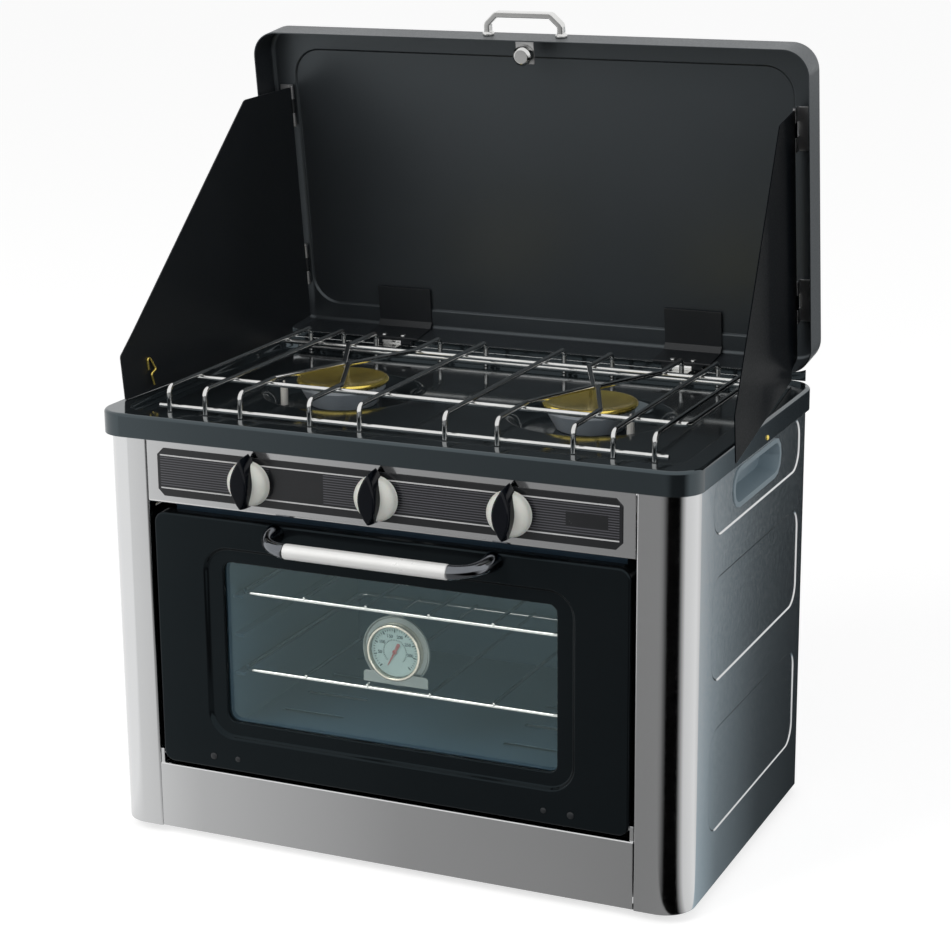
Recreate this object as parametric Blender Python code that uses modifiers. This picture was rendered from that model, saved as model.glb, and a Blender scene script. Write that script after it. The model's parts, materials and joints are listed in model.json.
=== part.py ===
"""A two-burner camping gas cooker with an oven: lid up, wind shields out, oven door shut.

Metres, +Z up, +X to the right of someone who faces the door, +Y towards the back.
While it is built, Z is measured from the bottom edge of the cabinet and Y from its front face.
At the end the whole cooker is moved so that it stands centred on the world's origin.
"""

import math

import bmesh
import bpy
from mathutils import Matrix, Vector

# Fits
GAP = 0.0003
RUNNING_GAP = 0.0005
OVERRUN = 0.002
BITE = 0.0005
MERGE = 0.00001
WELD = 0.0009

# Fineness of round forms
ROUND_STEPS = 20
SMALL_STEPS = 10
TINY_STEPS = 8
KNOB_STEPS = 16
BAR_STEPS = 20
CORNER_STEPS = 3
POST_STEPS = 6
EDGE_STEPS = 2
WIRE_RESOLUTION = 1
TUBE_RESOLUTION = 3

# Cabinet
SHEET = 0.001
CABINET_HALF = 0.273
CABINET_DEPTH = 0.322
CABINET_CORNER = 0.027
POST_INNER = 0.227
POST_FLANGE = 0.0115
REAR_FLANGE = 0.018
FOLD_RADIUS = 0.002
REAR_FOLD = 0.0075
PLINTH_TOP = 0.062
PANEL_BOTTOM = 0.307
PANEL_FOLD = 0.025
PANEL_TOP_FOLD = 0.011
BACK_PANEL_HALF = CABINET_HALF - REAR_FOLD - SHEET
BACK_PANEL_TOP = 0.370
VENT_COUNT = 6
VENT_LENGTH = 0.060
VENT_WIDTH = 0.006
VENT_PITCH = 0.016
VENT_BOTTOM = 0.260
PAN_EDGE = 0.015
PAN_FRONT = 0.020
PAN_CORNER = 0.006
FOOT_RADIUS = 0.011
FOOT_HEIGHT = 0.008
FOOT_TAPER = 0.0022
FOOT_X = 0.222
FOOT_FRONT = 0.052
FOOT_REAR = CABINET_DEPTH - 0.037

# Pressed panels of the sides
PRESS_FRONT = 0.058
PRESS_REAR = CABINET_DEPTH - 0.022
PRESS_DEPTH = 0.0015
PRESS_SLOPE = 0.003
PRESS_CORNER = 0.020
PRESS_LEVELS = ((0.049, 0.143), (0.185, 0.2775), (0.3125, 0.3625))
HANDLE_FRONT = 0.109
HANDLE_REAR = PRESS_REAR - 0.057
HANDLE_BOTTOM = 0.3225
HANDLE_TOP = 0.3585
HANDLE_LIP = 0.003
HANDLE_WALL = 0.0015
HANDLE_POCKET = 0.018

# Hob top
RIM_HALF = CABINET_HALF + 0.004
RIM_FRONT = -0.005
RIM_REAR = CABINET_DEPTH + 0.015
RIM_TOP = 0.385
RIM_SKIRT = 0.021
RIM_CORNER = 0.026
RIM_EDGE = 0.003
RIM_FLAT = 0.018
RIM_SLOPE = 0.004
FIELD_DROP = 0.007
FIELD_CORNER = 0.014
BURNER_X = 0.121
BURNER_Y = 0.171
BOWL_RADIUS = 0.076
BOWL_SLOPE = 0.016
BOWL_DEPTH = 0.012
BOWL_HOLE = 0.022

# Burners
CAP_RADIUS = 0.042
CAP_TOP = RIM_TOP + 0.006
CAP_RISE = 0.003
CAP_EDGE = 0.0025
CAP_SPIGOT = 0.033
CAP_SPIGOT_DEPTH = 0.006
PORT_COUNT = 8
PORT_WIDTH = 0.002
CUP_RADIUS = 0.039
CUP_WALL = 0.003
CUP_FLANGE = 0.030
NECK_RADIUS = 0.019
MIXER_RADIUS = 0.0085
MIXER_DROP = 0.014
MIXER_MOUTH = 0.0115
MIXER_MOUTH_LENGTH = 0.020
ELECTRODE_X = 0.047
ELECTRODE_Y = -0.026
ELECTRODE_RADIUS = 0.0035
ELECTRODE_TIP = 0.389
ELECTRODE_PIN = 0.001

# Taps and knobs
KNOB_XS = (-0.123, -0.002, 0.119)
KNOB_Z = 0.3355
SPINDLE_RADIUS = 0.0035
KNOB_TRAVEL = 0.003
KNOB_RADIUS = 0.020
KNOB_BACK = 0.0045
KNOB_RIM = 0.003
KNOB_FRONT = 0.016
KNOB_FLAT = 0.007
SPINDLE_FRONT = 0.013
GRIP_TIP = 0.0262
GRIP_FOOT = 0.0215
GRIP_FRONT = 0.027
GRIP_HALF = 0.009
GRIP_STEPS = 6
GRIP_EDGE = 0.0018
TAP_RADIUS = 0.011
TAP_FRONT = 0.014
TAP_REAR = 0.042
PIPE_RADIUS = 0.005
PIPE_Y = 0.036
INLET_X = 0.068 - CABINET_HALF
INLET_RADIUS = 0.007
NOSE_RADIUS = 0.005
INLET_REACH = 0.018
OVEN_PIPE_RADIUS = 0.003
OVEN_PIPE_DROP = 0.014

# Control label
LABEL_HALF = 0.216
LABEL_BOTTOM = 0.314
LABEL_TOP = 0.357
LABEL_CHAMFER = 0.006
LABEL_THICK = 0.0005

# Oven
CAVITY_HALF = 0.160
CAVITY_BOTTOM = 0.082
CAVITY_TOP = 0.278
CAVITY_CORNER = 0.004
CAVITY_REAR = 0.270
LINER_FRONT = 0.022
LINER_SHEET = 0.001
LINER_FLANGE_HALF = 0.212
LINER_FLANGE_BOTTOM = 0.068
LINER_FLANGE_TOP = 0.304
RIB_DEPTH = 0.009
RIB_THICK = 0.003
RIB_FRONT = 0.027
RIB_REAR = 0.264
FLOOR_TOP = 0.100
FLOOR_SLOT_X = 0.109
RACK_RADIUS = 0.002
RACK_CROSS_RADIUS = 0.0016
RACK_DROP = 0.0026
RACK_HALF = 0.1535
RACK_FRONT = 0.030
RACK_REAR = 0.262
RACK_CORNER = 0.010
RACK_LOWER_Z = 0.152
RACK_UPPER_Z = 0.224
RACK_HEIGHTS = (RACK_LOWER_Z, RACK_UPPER_Z)
RACK_CROSS_XS = (-0.090, -0.030, 0.030, 0.090)
TUBE_RADIUS = 0.005
TUBE_Y = 0.150
TUBE_Z = 0.090
TUBE_REACH = 0.176

# Door
DOOR_HALF = 0.2225
DOOR_BOTTOM = 0.065
DOOR_TOP = 0.2985
DOOR_CORNER = 0.010
DOOR_DEPTH = 0.014
DOOR_EDGE = 0.002
STEP_HALF = 0.175
STEP_BOTTOM = 0.0945
STEP_TOP = 0.2735
STEP_CORNER = 0.025
STEP_DEPTH = 0.004
STEP_SLOPE = 0.004
WINDOW_HALF = 0.157
WINDOW_BOTTOM = 0.1105
WINDOW_TOP = 0.2585
WINDOW_CORNER = 0.008
GLASS_FRONT = 0.008
GLASS_THICK = 0.004
GLASS_MARGIN = 0.007
INNER_MARGIN = 0.002
INNER_SHEET = 0.001
INNER_RAISE_HALF = 0.190
INNER_RAISE_BOTTOM = 0.0755
INNER_RAISE_TOP = 0.2845
INNER_RAISE_SLOPE = 0.003
INNER_REAR = 0.018
INNER_CORNER = 0.012
GASKET_RADIUS = 0.0017
GASKET_HALF = 0.174
GASKET_BOTTOM = 0.080
GASKET_TOP = 0.280
HINGE_Y = 0.005
HINGE_Z = 0.0715
HINGE_PIN_RADIUS = 0.002
HINGE_PIN_REACH = 0.008
LUG_CLEARANCE = 0.0008
LUG_HALF_DEPTH = 0.0035
BAR_Y = -0.032
BAR_Z = 0.288
BAR_RADIUS = 0.00675
BAR_HALF = 0.076
BRACKET_X = 0.110
BRACKET_Z = 0.2915
BRACKET_FOOT = 0.0075

# Thermometer
DIAL_X = -0.005
DIAL_Z = 0.187
DIAL_Y = 0.038
CASE_RADIUS = 0.032
BEZEL_RADIUS = 0.026
CASE_DEPTH = 0.007
BEZEL_RISE = 0.0015
BRACKET_SHEET = 0.0008
NEEDLE_LENGTH = 0.0145
NEEDLE_TAIL = 0.009
NEEDLE_HALF = 0.00165
NEEDLE_HUB = 0.003
NEEDLE_REST = math.radians(208)
DIAL_STAND_HALF = 0.031
DIAL_STAND_WAIST = 0.017
DIAL_TAB_HALF = 0.008

# Pan support
WIRE = 0.0023
BAR_TOP_Z = RIM_TOP + 0.016
SUPPORT_FRONT = 0.042
SUPPORT_REAR = 0.311
SUPPORT_BEND = 0.006
SUPPORT_HALF = 0.236
LOWER_WIRE_Z = RIM_TOP - 0.0024
CROSS_FRONT = 0.099
CROSS_REAR = 0.264
STRAIGHT_XS = (0.040, 0.191, 0.227)
VEE_XS = (0.088, 0.156)
VEE_FRONT = 0.104
VEE_MIDDLE = 0.180
VEE_REAR = 0.252

# Lid, in its own frame: the origin is on its hinge, z along its height, y to its back panel
LID_TILT = math.radians(7.2)
LID_HINGE_Y = CABINET_DEPTH + 0.0115
LID_HINGE_Z = RIM_TOP + 0.0035
LID_HALF = 0.273
LID_BOTTOM = 0.0037
LID_HEIGHT = 0.297
LID_FRONT = -0.0015
LID_DEPTH = 0.0375
LID_SHEET = 0.001
LID_CORNER = 0.024
LID_EDGE = 0.005
EMBOSS_HALF = 0.250
EMBOSS_BOTTOM = 0.022
EMBOSS_TOP = 0.279
EMBOSS_CORNER = 0.028
EMBOSS_DEPTH = 0.002
EMBOSS_SLOPE = 0.002

# Lid hinges
BARREL_RADIUS = 0.0032
LID_PIN_RADIUS = 0.0015
HINGE_CENTRE_X = 0.149
HINGE_PLATE_HALF = 0.028
HINGE_BARREL_HALF = 0.020
HINGE_MIDDLE_HALF = 0.0097
LEAF_SHEET = 0.001
LEAF_REACH = 0.013
BRACKET_RISE = 0.041

# Lid handle and latch
BAIL_HALF = 0.036
BAIL_TOP_HALF = 0.0266
BAIL_HEIGHT = 0.022
BAIL_STEM = 0.0105
BAIL_THICK = 0.0052
BAIL_WIDTH = 0.0084
BAIL_FOOT_RADIUS = 0.0055
BAIL_FOOT_HEIGHT = 0.003
LATCH_X = 0.003
LATCH_RADIUS = 0.009
LATCH_LENGTH = 0.010
LATCH_ROUND = 0.0024
LATCH_DROP = 0.0135

# Wind shields, as distance from the hinge and height above the lid's bottom edge
SHIELD_X = 0.252
SHIELD_SHEET = 0.001
SHIELD_NECK = 0.0026
SHIELD_BOTTOM = 0.0065
SHIELD_TOP_NEAR = 0.238
SHIELD_SHOULDER = 0.085
SHIELD_SHOULDER_TOP = 0.245
SHIELD_SLOPE_REACH = 0.299
SHIELD_SLOPE_BOTTOM = 0.087
SHIELD_REACH = 0.322
SHIELD_NOSE_TOP = 0.071
SHIELD_NOSE_BOTTOM = 0.030
SHIELD_BARREL = 0.002
SHIELD_PIN = 0.0009
SHIELD_LEAF_LONG = 0.040
SHIELD_LEAF_WIDE = 0.014
SHIELD_LEAF_LEVELS = (0.059, 0.219)
SHIELD_SETBACK_LEFT = 0.0023
SHIELD_SETBACK_RIGHT = 0.0060
SHIELD_FLARE_LEFT = math.radians(3.3)
SHIELD_FLARE_RIGHT = math.radians(8)
CLIP_RADIUS = 0.0009
CLIP_REACH = SHIELD_REACH - 0.038
CLIP_WIDTH = 0.008
CLIP_BOTTOM = 0.034
CLIP_TOP = 0.062


def material(name, colour, roughness, metallic=0.0, transmission=0.0):
    """A Principled material."""
    made = bpy.data.materials.new(name)
    made.use_nodes = True
    shader = made.node_tree.nodes["Principled BSDF"]
    shader.inputs["Base Color"].default_value = (*colour, 1)
    shader.inputs["Roughness"].default_value = roughness
    shader.inputs["Metallic"].default_value = metallic
    shader.inputs["Transmission Weight"].default_value = transmission
    made.diffuse_color = (*colour, 1)
    return made


def collection(name):
    """A collection linked to the scene."""
    made = bpy.data.collections.new(name)
    bpy.context.scene.collection.children.link(made)
    return made


for leftover in list(bpy.data.objects):
    bpy.data.objects.remove(leftover)

PARTS = collection("gas_cooker_with_oven")
HELPERS = collection("helpers")

STEEL = material("satin_steel", (0.62, 0.61, 0.60), 0.3, 1.0)
DARK_STEEL = material("plated_steel", (0.30, 0.31, 0.32), 0.4, 1.0)
ENAMEL = material("black_enamel", (0.012, 0.013, 0.014), 0.12)
SATIN_BLACK = material("satin_black", (0.015, 0.016, 0.018), 0.4)
OVEN_ENAMEL = material("oven_enamel", (0.10, 0.12, 0.14), 0.35)
CHROME = material("chrome", (0.75, 0.76, 0.78), 0.08, 1.0)
DARK_CHROME = material("dark_chrome", (0.18, 0.19, 0.21), 0.15, 1.0)
BRASS = material("polished_brass", (0.80, 0.58, 0.16), 0.2, 1.0)
ALUMINIUM = material("aluminium", (0.60, 0.62, 0.64), 0.35, 1.0)
IVORY = material("ivory_plastic", (0.80, 0.76, 0.66), 0.35)
BLACK_PLASTIC = material("black_plastic", (0.01, 0.01, 0.012), 0.15)
GREY_PLASTIC = material("grey_plastic", (0.25, 0.30, 0.34), 0.45)
RUBBER = material("black_rubber", (0.02, 0.02, 0.02), 0.8)
LABEL = material("label_print", (0.05, 0.05, 0.055), 0.4)
GLASS = material("glass", (0.9, 0.95, 0.95), 0.03, 0.0, 1.0)
CERAMIC = material("white_ceramic", (0.85, 0.84, 0.80), 0.3)
DIAL_PAINT = material("dial_paint", (0.72, 0.78, 0.70), 0.5)
RED_PAINT = material("red_paint", (0.70, 0.05, 0.04), 0.4)
SILICONE = material("grey_silicone", (0.12, 0.12, 0.12), 0.7)


def empty(name, parent, location, rotation=(0, 0, 0)):
    """An empty that pieces hang on."""
    made = bpy.data.objects.new(name, None)
    made.parent = parent
    made.location = location
    made.rotation_euler = rotation
    PARTS.objects.link(made)
    return made


def piece(name, mesh, look, parent, location=(0, 0, 0), rotation=(0, 0, 0)):
    """One named piece of the cooker."""
    mesh.materials.clear()
    mesh.materials.append(look)
    mesh.shade_smooth()
    mesh.set_sharp_from_angle(angle=math.radians(35))
    made = bpy.data.objects.new(name, mesh)
    made.parent = parent
    made.location = location
    made.rotation_euler = rotation
    PARTS.objects.link(made)
    return made


def evaluated(made):
    """The evaluated mesh of a loose helper object, which is then removed."""
    bpy.context.view_layer.update()
    graph = bpy.context.evaluated_depsgraph_get()
    mesh = bpy.data.meshes.new_from_object(made.evaluated_get(graph))
    mesh.transform(made.matrix_world)
    bpy.data.objects.remove(made)
    return mesh


def helper(data):
    """A loose helper object that holds a mesh or a curve."""
    made = bpy.data.objects.new("helper", data)
    made.hide_render = True
    made.display_type = "WIRE"
    HELPERS.objects.link(made)
    return made


def combine(mesh, others, operation):
    """A mesh after exact Booleans with other meshes, one after another."""
    body = helper(mesh)
    tools = [helper(other) for other in others]
    for tool in tools:
        step = body.modifiers.new("Boolean", "BOOLEAN")
        step.operation = operation
        step.solver = "EXACT"
        step.object = tool
    result = evaluated(body)
    for tool in tools:
        bpy.data.objects.remove(tool)
    return result


def joined(meshes):
    """The union of meshes that overlap."""
    return combine(meshes[0], meshes[1:], "UNION")


def cut(mesh, cutters):
    """A mesh with cutters taken out of it."""
    return combine(mesh, cutters, "DIFFERENCE")


def to_mesh(work):
    """A mesh made from a bmesh."""
    mesh = bpy.data.meshes.new("shape")
    work.to_mesh(mesh)
    work.free()
    return mesh


def mirrored(mesh):
    """The mirror image of a mesh across X = 0."""
    other = mesh.copy()
    other.transform(Matrix.Scale(-1, 4, (1, 0, 0)))
    other.flip_normals()
    return other


def moved(mesh, offset):
    """A copy of a mesh, moved."""
    other = mesh.copy()
    other.transform(Matrix.Translation(offset))
    return other


def turned_about(mesh, angle, axis):
    """A copy of a mesh, turned about an axis through the origin."""
    other = mesh.copy()
    other.transform(Matrix.Rotation(angle, 4, axis))
    return other


def box(low, high, bevel=0.0):
    """A box between two corners, with its edges rounded."""
    work = bmesh.new()
    bmesh.ops.create_cube(work, size=1)
    low = Vector(low)
    high = Vector(high)
    middle = (low + high) / 2
    size = high - low
    bmesh.ops.scale(work, vec=size, verts=work.verts)
    bmesh.ops.translate(work, vec=middle, verts=work.verts)
    if bevel > 0:
        bmesh.ops.bevel(
            work, geom=work.edges[:], offset=bevel, segments=EDGE_STEPS, affect="EDGES", profile=0.5
        )
    return to_mesh(work)


def cylinder(radius, start, end, steps=SMALL_STEPS):
    """A cylinder between two points."""
    start = Vector(start)
    end = Vector(end)
    along = end - start
    work = bmesh.new()
    bmesh.ops.create_cone(
        work, cap_ends=True, segments=steps, radius1=radius, radius2=radius, depth=along.length
    )
    turn = Vector((0, 0, 1)).rotation_difference(along).to_matrix().to_4x4()
    bmesh.ops.transform(work, matrix=Matrix.Translation((start + end) / 2) @ turn, verts=work.verts)
    return to_mesh(work)


def rounded_path(points, radii, steps=CORNER_STEPS, closed=False):
    """A path through points whose corners are rounded."""
    points = [Vector(point) for point in points]
    count = len(points)
    if not isinstance(radii, (list, tuple)):
        radii = [radii] * count
    path = []
    for index, corner in enumerate(points):
        radius = radii[index]
        at_end = not closed and index in (0, count - 1)
        if at_end or radius <= 0:
            path.append(corner)
            continue
        before = (points[index - 1] - corner).normalized()
        after = (points[(index + 1) % count] - corner).normalized()
        half = before.angle(after) / 2
        reach = radius / math.tan(half)
        centre = corner + (before + after).normalized() * (radius / math.sin(half))
        start = corner + before * reach - centre
        end = corner + after * reach - centre
        turn = start.angle(end)
        for step in range(steps + 1):
            share = step / steps
            arm = (start * math.sin((1 - share) * turn) + end * math.sin(share * turn)) / math.sin(turn)
            path.append(centre + arm)
    return path


def rounded_rectangle(x0, x1, y0, y1, radius, steps=CORNER_STEPS):
    """A rounded rectangle, anticlockwise, as flat points."""
    corners = [(x0, y0, 0), (x1, y0, 0), (x1, y1, 0), (x0, y1, 0)]
    return [(point.x, point.y) for point in rounded_path(corners, radius, steps, closed=True)]


def circle(x, y, radius, steps=ROUND_STEPS):
    """A circle, anticlockwise, as flat points."""
    points = []
    for step in range(steps):
        angle = 2 * math.pi * step / steps
        points.append((x + radius * math.cos(angle), y + radius * math.sin(angle)))
    return points


def thickened(mesh, thickness):
    """A closed solid made from an open surface, on the side away from its faces' normals."""
    body = helper(mesh)
    shell = body.modifiers.new("Solidify", "SOLIDIFY")
    shell.thickness = thickness
    shell.offset = -1
    shell.use_even_offset = True
    shell.use_quality_normals = True
    return evaluated(body)


def pressed_sheet(rings, thickness, bowls=(), fill=True):
    """A pressed sheet: rings of (flat points, height) from its edge inwards, seen from +Z.

    Each bowl is a list of such rings of its own, from its edge to the edge of its hole.
    """
    work = bmesh.new()

    def loop_of(points, height):
        return [work.verts.new((x, y, height)) for x, y in points]

    def bridge(outer, inner):
        count = len(outer)
        for index in range(count):
            after = (index + 1) % count
            work.faces.new((outer[index], outer[after], inner[after], inner[index]))

    def chain(list_of_rings):
        loops = [loop_of(points, height) for points, height in list_of_rings]
        for outer, inner in zip(loops, loops[1:]):
            bridge(outer, inner)
        return loops

    loops = chain(rings)
    last = loops[-1]
    if bowls:
        tops = [chain(bowl)[0] for bowl in bowls]
        edges = []
        for loop in [last, *tops]:
            for index, vertex in enumerate(loop):
                after = loop[(index + 1) % len(loop)]
                edge = work.edges.get((vertex, after)) or work.edges.new((vertex, after))
                edges.append(edge)
        bmesh.ops.triangle_fill(work, use_beauty=True, edges=edges, normal=(0, 0, 1))
        bmesh.ops.recalc_face_normals(work, faces=work.faces)
        if last[0].link_faces and sum(face.normal.z * face.calc_area() for face in work.faces) < 0:
            bmesh.ops.reverse_faces(work, faces=work.faces)
    elif fill:
        work.faces.new(last)
    return thickened(to_mesh(work), thickness)


def folded_sheet(path, low, high, thickness):
    """A sheet folded along a flat path, between two heights; its outside is right of the path."""
    work = bmesh.new()
    columns = [(work.verts.new((x, y, low)), work.verts.new((x, y, high))) for x, y, _ in path]
    for first, second in zip(columns, columns[1:]):
        work.faces.new((first[0], second[0], second[1], first[1]))
    return thickened(to_mesh(work), thickness)


def plate(points, thickness):
    """A flat plate with an outline in X and Y, centred on Z = 0."""
    flat = bpy.data.curves.new("outline", "CURVE")
    flat.dimensions = "2D"
    flat.fill_mode = "BOTH"
    flat.extrude = thickness / 2
    flat.render_resolution_u = 0
    spline = flat.splines.new("POLY")
    spline.points.add(len(points) - 1)
    for place, point in zip(spline.points, points):
        place.co = (point[0], point[1], 0, 1)
    spline.use_cyclic_u = True
    return welded(evaluated(helper(flat)))


def welded(mesh):
    """A mesh whose loose caps are joined to its sides."""
    work = bmesh.new()
    work.from_mesh(mesh)
    bmesh.ops.remove_doubles(work, verts=work.verts, dist=MERGE)
    bmesh.ops.recalc_face_normals(work, faces=work.faces)
    work.to_mesh(mesh)
    work.free()
    return mesh


def wire(points, radius, closed=False, radii_shares=None, resolution=WIRE_RESOLUTION):
    """A wire or a tube along a path, as a mesh."""
    line = bpy.data.curves.new("wire", "CURVE")
    line.dimensions = "3D"
    line.bevel_depth = radius
    line.bevel_resolution = resolution
    line.render_resolution_u = 0
    line.use_fill_caps = not closed
    spline = line.splines.new("POLY")
    spline.points.add(len(points) - 1)
    for index, (place, point) in enumerate(zip(spline.points, points)):
        place.co = (*point, 1)
        if radii_shares:
            place.radius = radii_shares[index]
    spline.use_cyclic_u = closed
    return welded(evaluated(helper(line)))


def turned(profile, steps=ROUND_STEPS):
    """A turned solid from a profile of (radius, height), run from its top to its bottom."""
    work = bmesh.new()
    places = [work.verts.new((radius, 0, height)) for radius, height in profile]
    for first, second in zip(places, places[1:]):
        work.edges.new((first, second))
    body = helper(to_mesh(work))
    screw = body.modifiers.new("Screw", "SCREW")
    screw.angle = 2 * math.pi
    screw.steps = steps
    screw.render_steps = steps
    screw.use_merge_vertices = True
    screw.merge_threshold = MERGE
    return welded(evaluated(body))


def facing(mesh):
    """A solid made along +Z, turned to point at the front."""
    return turned_about(mesh, math.radians(90), "X")


def upright(mesh):
    """A sheet pressed in X and Y and seen from +Z, stood up to be seen from the front."""
    return turned_about(mesh, math.radians(90), "X")


# Cabinet


def side_panel():
    """The right side: front post, rounded corner, pressed side and rear flange."""
    path = rounded_path(
        [
            (POST_INNER, POST_FLANGE, 0),
            (POST_INNER, 0, 0),
            (CABINET_HALF, 0, 0),
            (CABINET_HALF, CABINET_DEPTH, 0),
            (CABINET_HALF - REAR_FLANGE, CABINET_DEPTH, 0),
        ],
        [0, FOLD_RADIUS, CABINET_CORNER, REAR_FOLD, 0],
        steps=POST_STEPS,
    )
    sheet = folded_sheet(path, 0, RIM_TOP - SHEET - GAP, SHEET)
    backings = []
    pockets = []
    for low, high in PRESS_LEVELS:
        backings.append(press_tool(low, high, SHEET + PRESS_DEPTH, SHEET / 2, SHEET))
        pockets.append(press_tool(low, high, PRESS_DEPTH, -OVERRUN, 0))
    sheet = combine(sheet, backings, "UNION")
    sheet = combine(sheet, pockets, "DIFFERENCE")
    hole = rounded_rectangle(
        HANDLE_FRONT + HANDLE_LIP,
        HANDLE_REAR - HANDLE_LIP,
        HANDLE_BOTTOM + HANDLE_LIP,
        HANDLE_TOP - HANDLE_LIP,
        (HANDLE_TOP - HANDLE_BOTTOM) / 2 - HANDLE_LIP - GAP,
    )
    tool = side_plate(hole, CABINET_HALF - PRESS_DEPTH - SHEET - OVERRUN, CABINET_HALF + OVERRUN)
    return combine(sheet, [tool], "DIFFERENCE")


def side_plate(points, x0, x1):
    """A plate whose outline lies in Y and Z, between two places along X."""
    mesh = plate(points, x1 - x0)
    # the outline's X goes to world Y, its Y to world Z and its Z to world X
    turn = Matrix(((0, 0, 1, (x0 + x1) / 2), (1, 0, 0, 0), (0, 1, 0, 0), (0, 0, 0, 1)))
    mesh.transform(turn)
    return mesh


def press_tool(low, high, deep, shallow, grow):
    """The tapered block of a pressed panel, from one depth behind the outer face to another."""
    work = bmesh.new()
    rings = []
    for depth in (shallow, deep):
        inset = PRESS_SLOPE * depth / PRESS_DEPTH
        points = rounded_rectangle(
            PRESS_FRONT + inset - grow,
            PRESS_REAR - inset + grow,
            low + inset - grow,
            high - inset + grow,
            PRESS_CORNER - inset + grow,
        )
        rings.append([work.verts.new((CABINET_HALF - depth, y, z)) for y, z in points])
    outer, inner = rings
    count = len(outer)
    for index in range(count):
        after = (index + 1) % count
        work.faces.new((outer[index], outer[after], inner[after], inner[index]))
    work.faces.new(list(reversed(outer)))
    work.faces.new(inner)
    bmesh.ops.recalc_face_normals(work, faces=work.faces)
    return to_mesh(work)


def carry_handle():
    """The moulded finger pocket of the right side."""
    face = CABINET_HALF - PRESS_DEPTH + GAP
    half = (HANDLE_TOP - HANDLE_BOTTOM) / 2

    def ring(inset, depth):
        points = rounded_rectangle(
            HANDLE_FRONT + inset, HANDLE_REAR - inset, HANDLE_BOTTOM + inset, HANDLE_TOP - inset,
            half - inset - GAP,
        )
        return points, depth

    flange = HANDLE_LIP + HANDLE_WALL
    rings = [
        ring(0, 0),
        ring(0, HANDLE_WALL),
        ring(flange, HANDLE_WALL),
        ring(flange + HANDLE_WALL, HANDLE_WALL - HANDLE_POCKET / 3),
        ring(flange + 2 * HANDLE_WALL, HANDLE_WALL - HANDLE_POCKET),
    ]
    work = bmesh.new()
    loops = [[work.verts.new((face + depth, y, z)) for y, z in points] for points, depth in rings]
    wall = HANDLE_LIP + GAP
    back = [ring(wall, 0), ring(wall, -HANDLE_POCKET)]
    back_loops = [[work.verts.new((face + depth, y, z)) for y, z in points] for points, depth in back]
    order = [*reversed(back_loops), *loops]
    for first, second in zip(order, order[1:]):
        count = len(first)
        for index in range(count):
            after = (index + 1) % count
            work.faces.new((first[index], first[after], second[after], second[index]))
    work.faces.new(list(reversed(order[0])))
    work.faces.new(order[-1])
    bmesh.ops.recalc_face_normals(work, faces=work.faces)
    return to_mesh(work)


def back_panel():
    """The flat back with two groups of vent slots."""
    y1 = CABINET_DEPTH - SHEET - GAP
    y0 = y1 - SHEET
    sheet = box((-BACK_PANEL_HALF, y0, SHEET), (BACK_PANEL_HALF, y1, BACK_PANEL_TOP))
    slots = []
    for side in (-1, 1):
        for number in range(VENT_COUNT):
            z = VENT_BOTTOM + VENT_PITCH * number
            x = side * BACK_PANEL_HALF / 2
            slots.append(
                box(
                    (x - VENT_LENGTH / 2, y0 - OVERRUN, z),
                    (x + VENT_LENGTH / 2, y1 + OVERRUN, z + VENT_WIDTH),
                )
            )
    hole = cylinder(
        INLET_RADIUS + RUNNING_GAP,
        (INLET_X, y0 - OVERRUN, KNOB_Z),
        (INLET_X, y1 + OVERRUN, KNOB_Z),
    )
    return cut(sheet, [*slots, hole])


def base_pan():
    """The bottom tray, with its edges turned up inside the cabinet."""
    front = PAN_FRONT
    rear = CABINET_DEPTH - 2 * SHEET - 2 * GAP
    half = CABINET_HALF - SHEET - GAP
    turn = FOLD_RADIUS + SHEET

    def ring(inset, height):
        return (
            rounded_rectangle(-half + inset, half - inset, front + inset, rear - inset, PAN_CORNER - inset),
            height,
        )

    rings = [
        ring(0, SHEET + PAN_EDGE),
        ring(0, SHEET + turn),
        ring(turn / 3, SHEET + turn / 3),
        ring(turn, SHEET),
    ]
    mesh = pressed_sheet([(points, -height) for points, height in rings], SHEET)
    return turned_over(mesh)


def turned_over(mesh):
    """A sheet that was pressed upside down, turned over in Z."""
    other = mesh.copy()
    other.transform(Matrix.Scale(-1, 4, (0, 0, 1)))
    other.flip_normals()
    return other


def foot():
    """A rubber foot, its top just under the base pan."""
    top = SHEET - GAP
    inner = FOOT_RADIUS - FOOT_TAPER
    return turned(
        [
            (0, top),
            (FOOT_RADIUS, top),
            (FOOT_RADIUS, top - FOOT_HEIGHT / 3),
            (inner, -FOOT_HEIGHT),
            (0, -FOOT_HEIGHT),
        ],
        SMALL_STEPS,
    )


def profile_bar(profile, radii, x0, x1, thickness):
    """A sheet folded to a profile of (y, z), run along X; its outside is right of the profile."""
    path = rounded_path([(y, z, 0) for y, z in profile], radii, steps=EDGE_STEPS)
    mesh = folded_sheet(path, x0, x1, thickness)
    # the path's plane is Y and Z, and the sheet's length runs along X
    mesh.transform(Matrix(((0, 0, 1, 0), (1, 0, 0, 0), (0, 1, 0, 0), (0, 0, 0, 1))))
    return mesh


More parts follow.
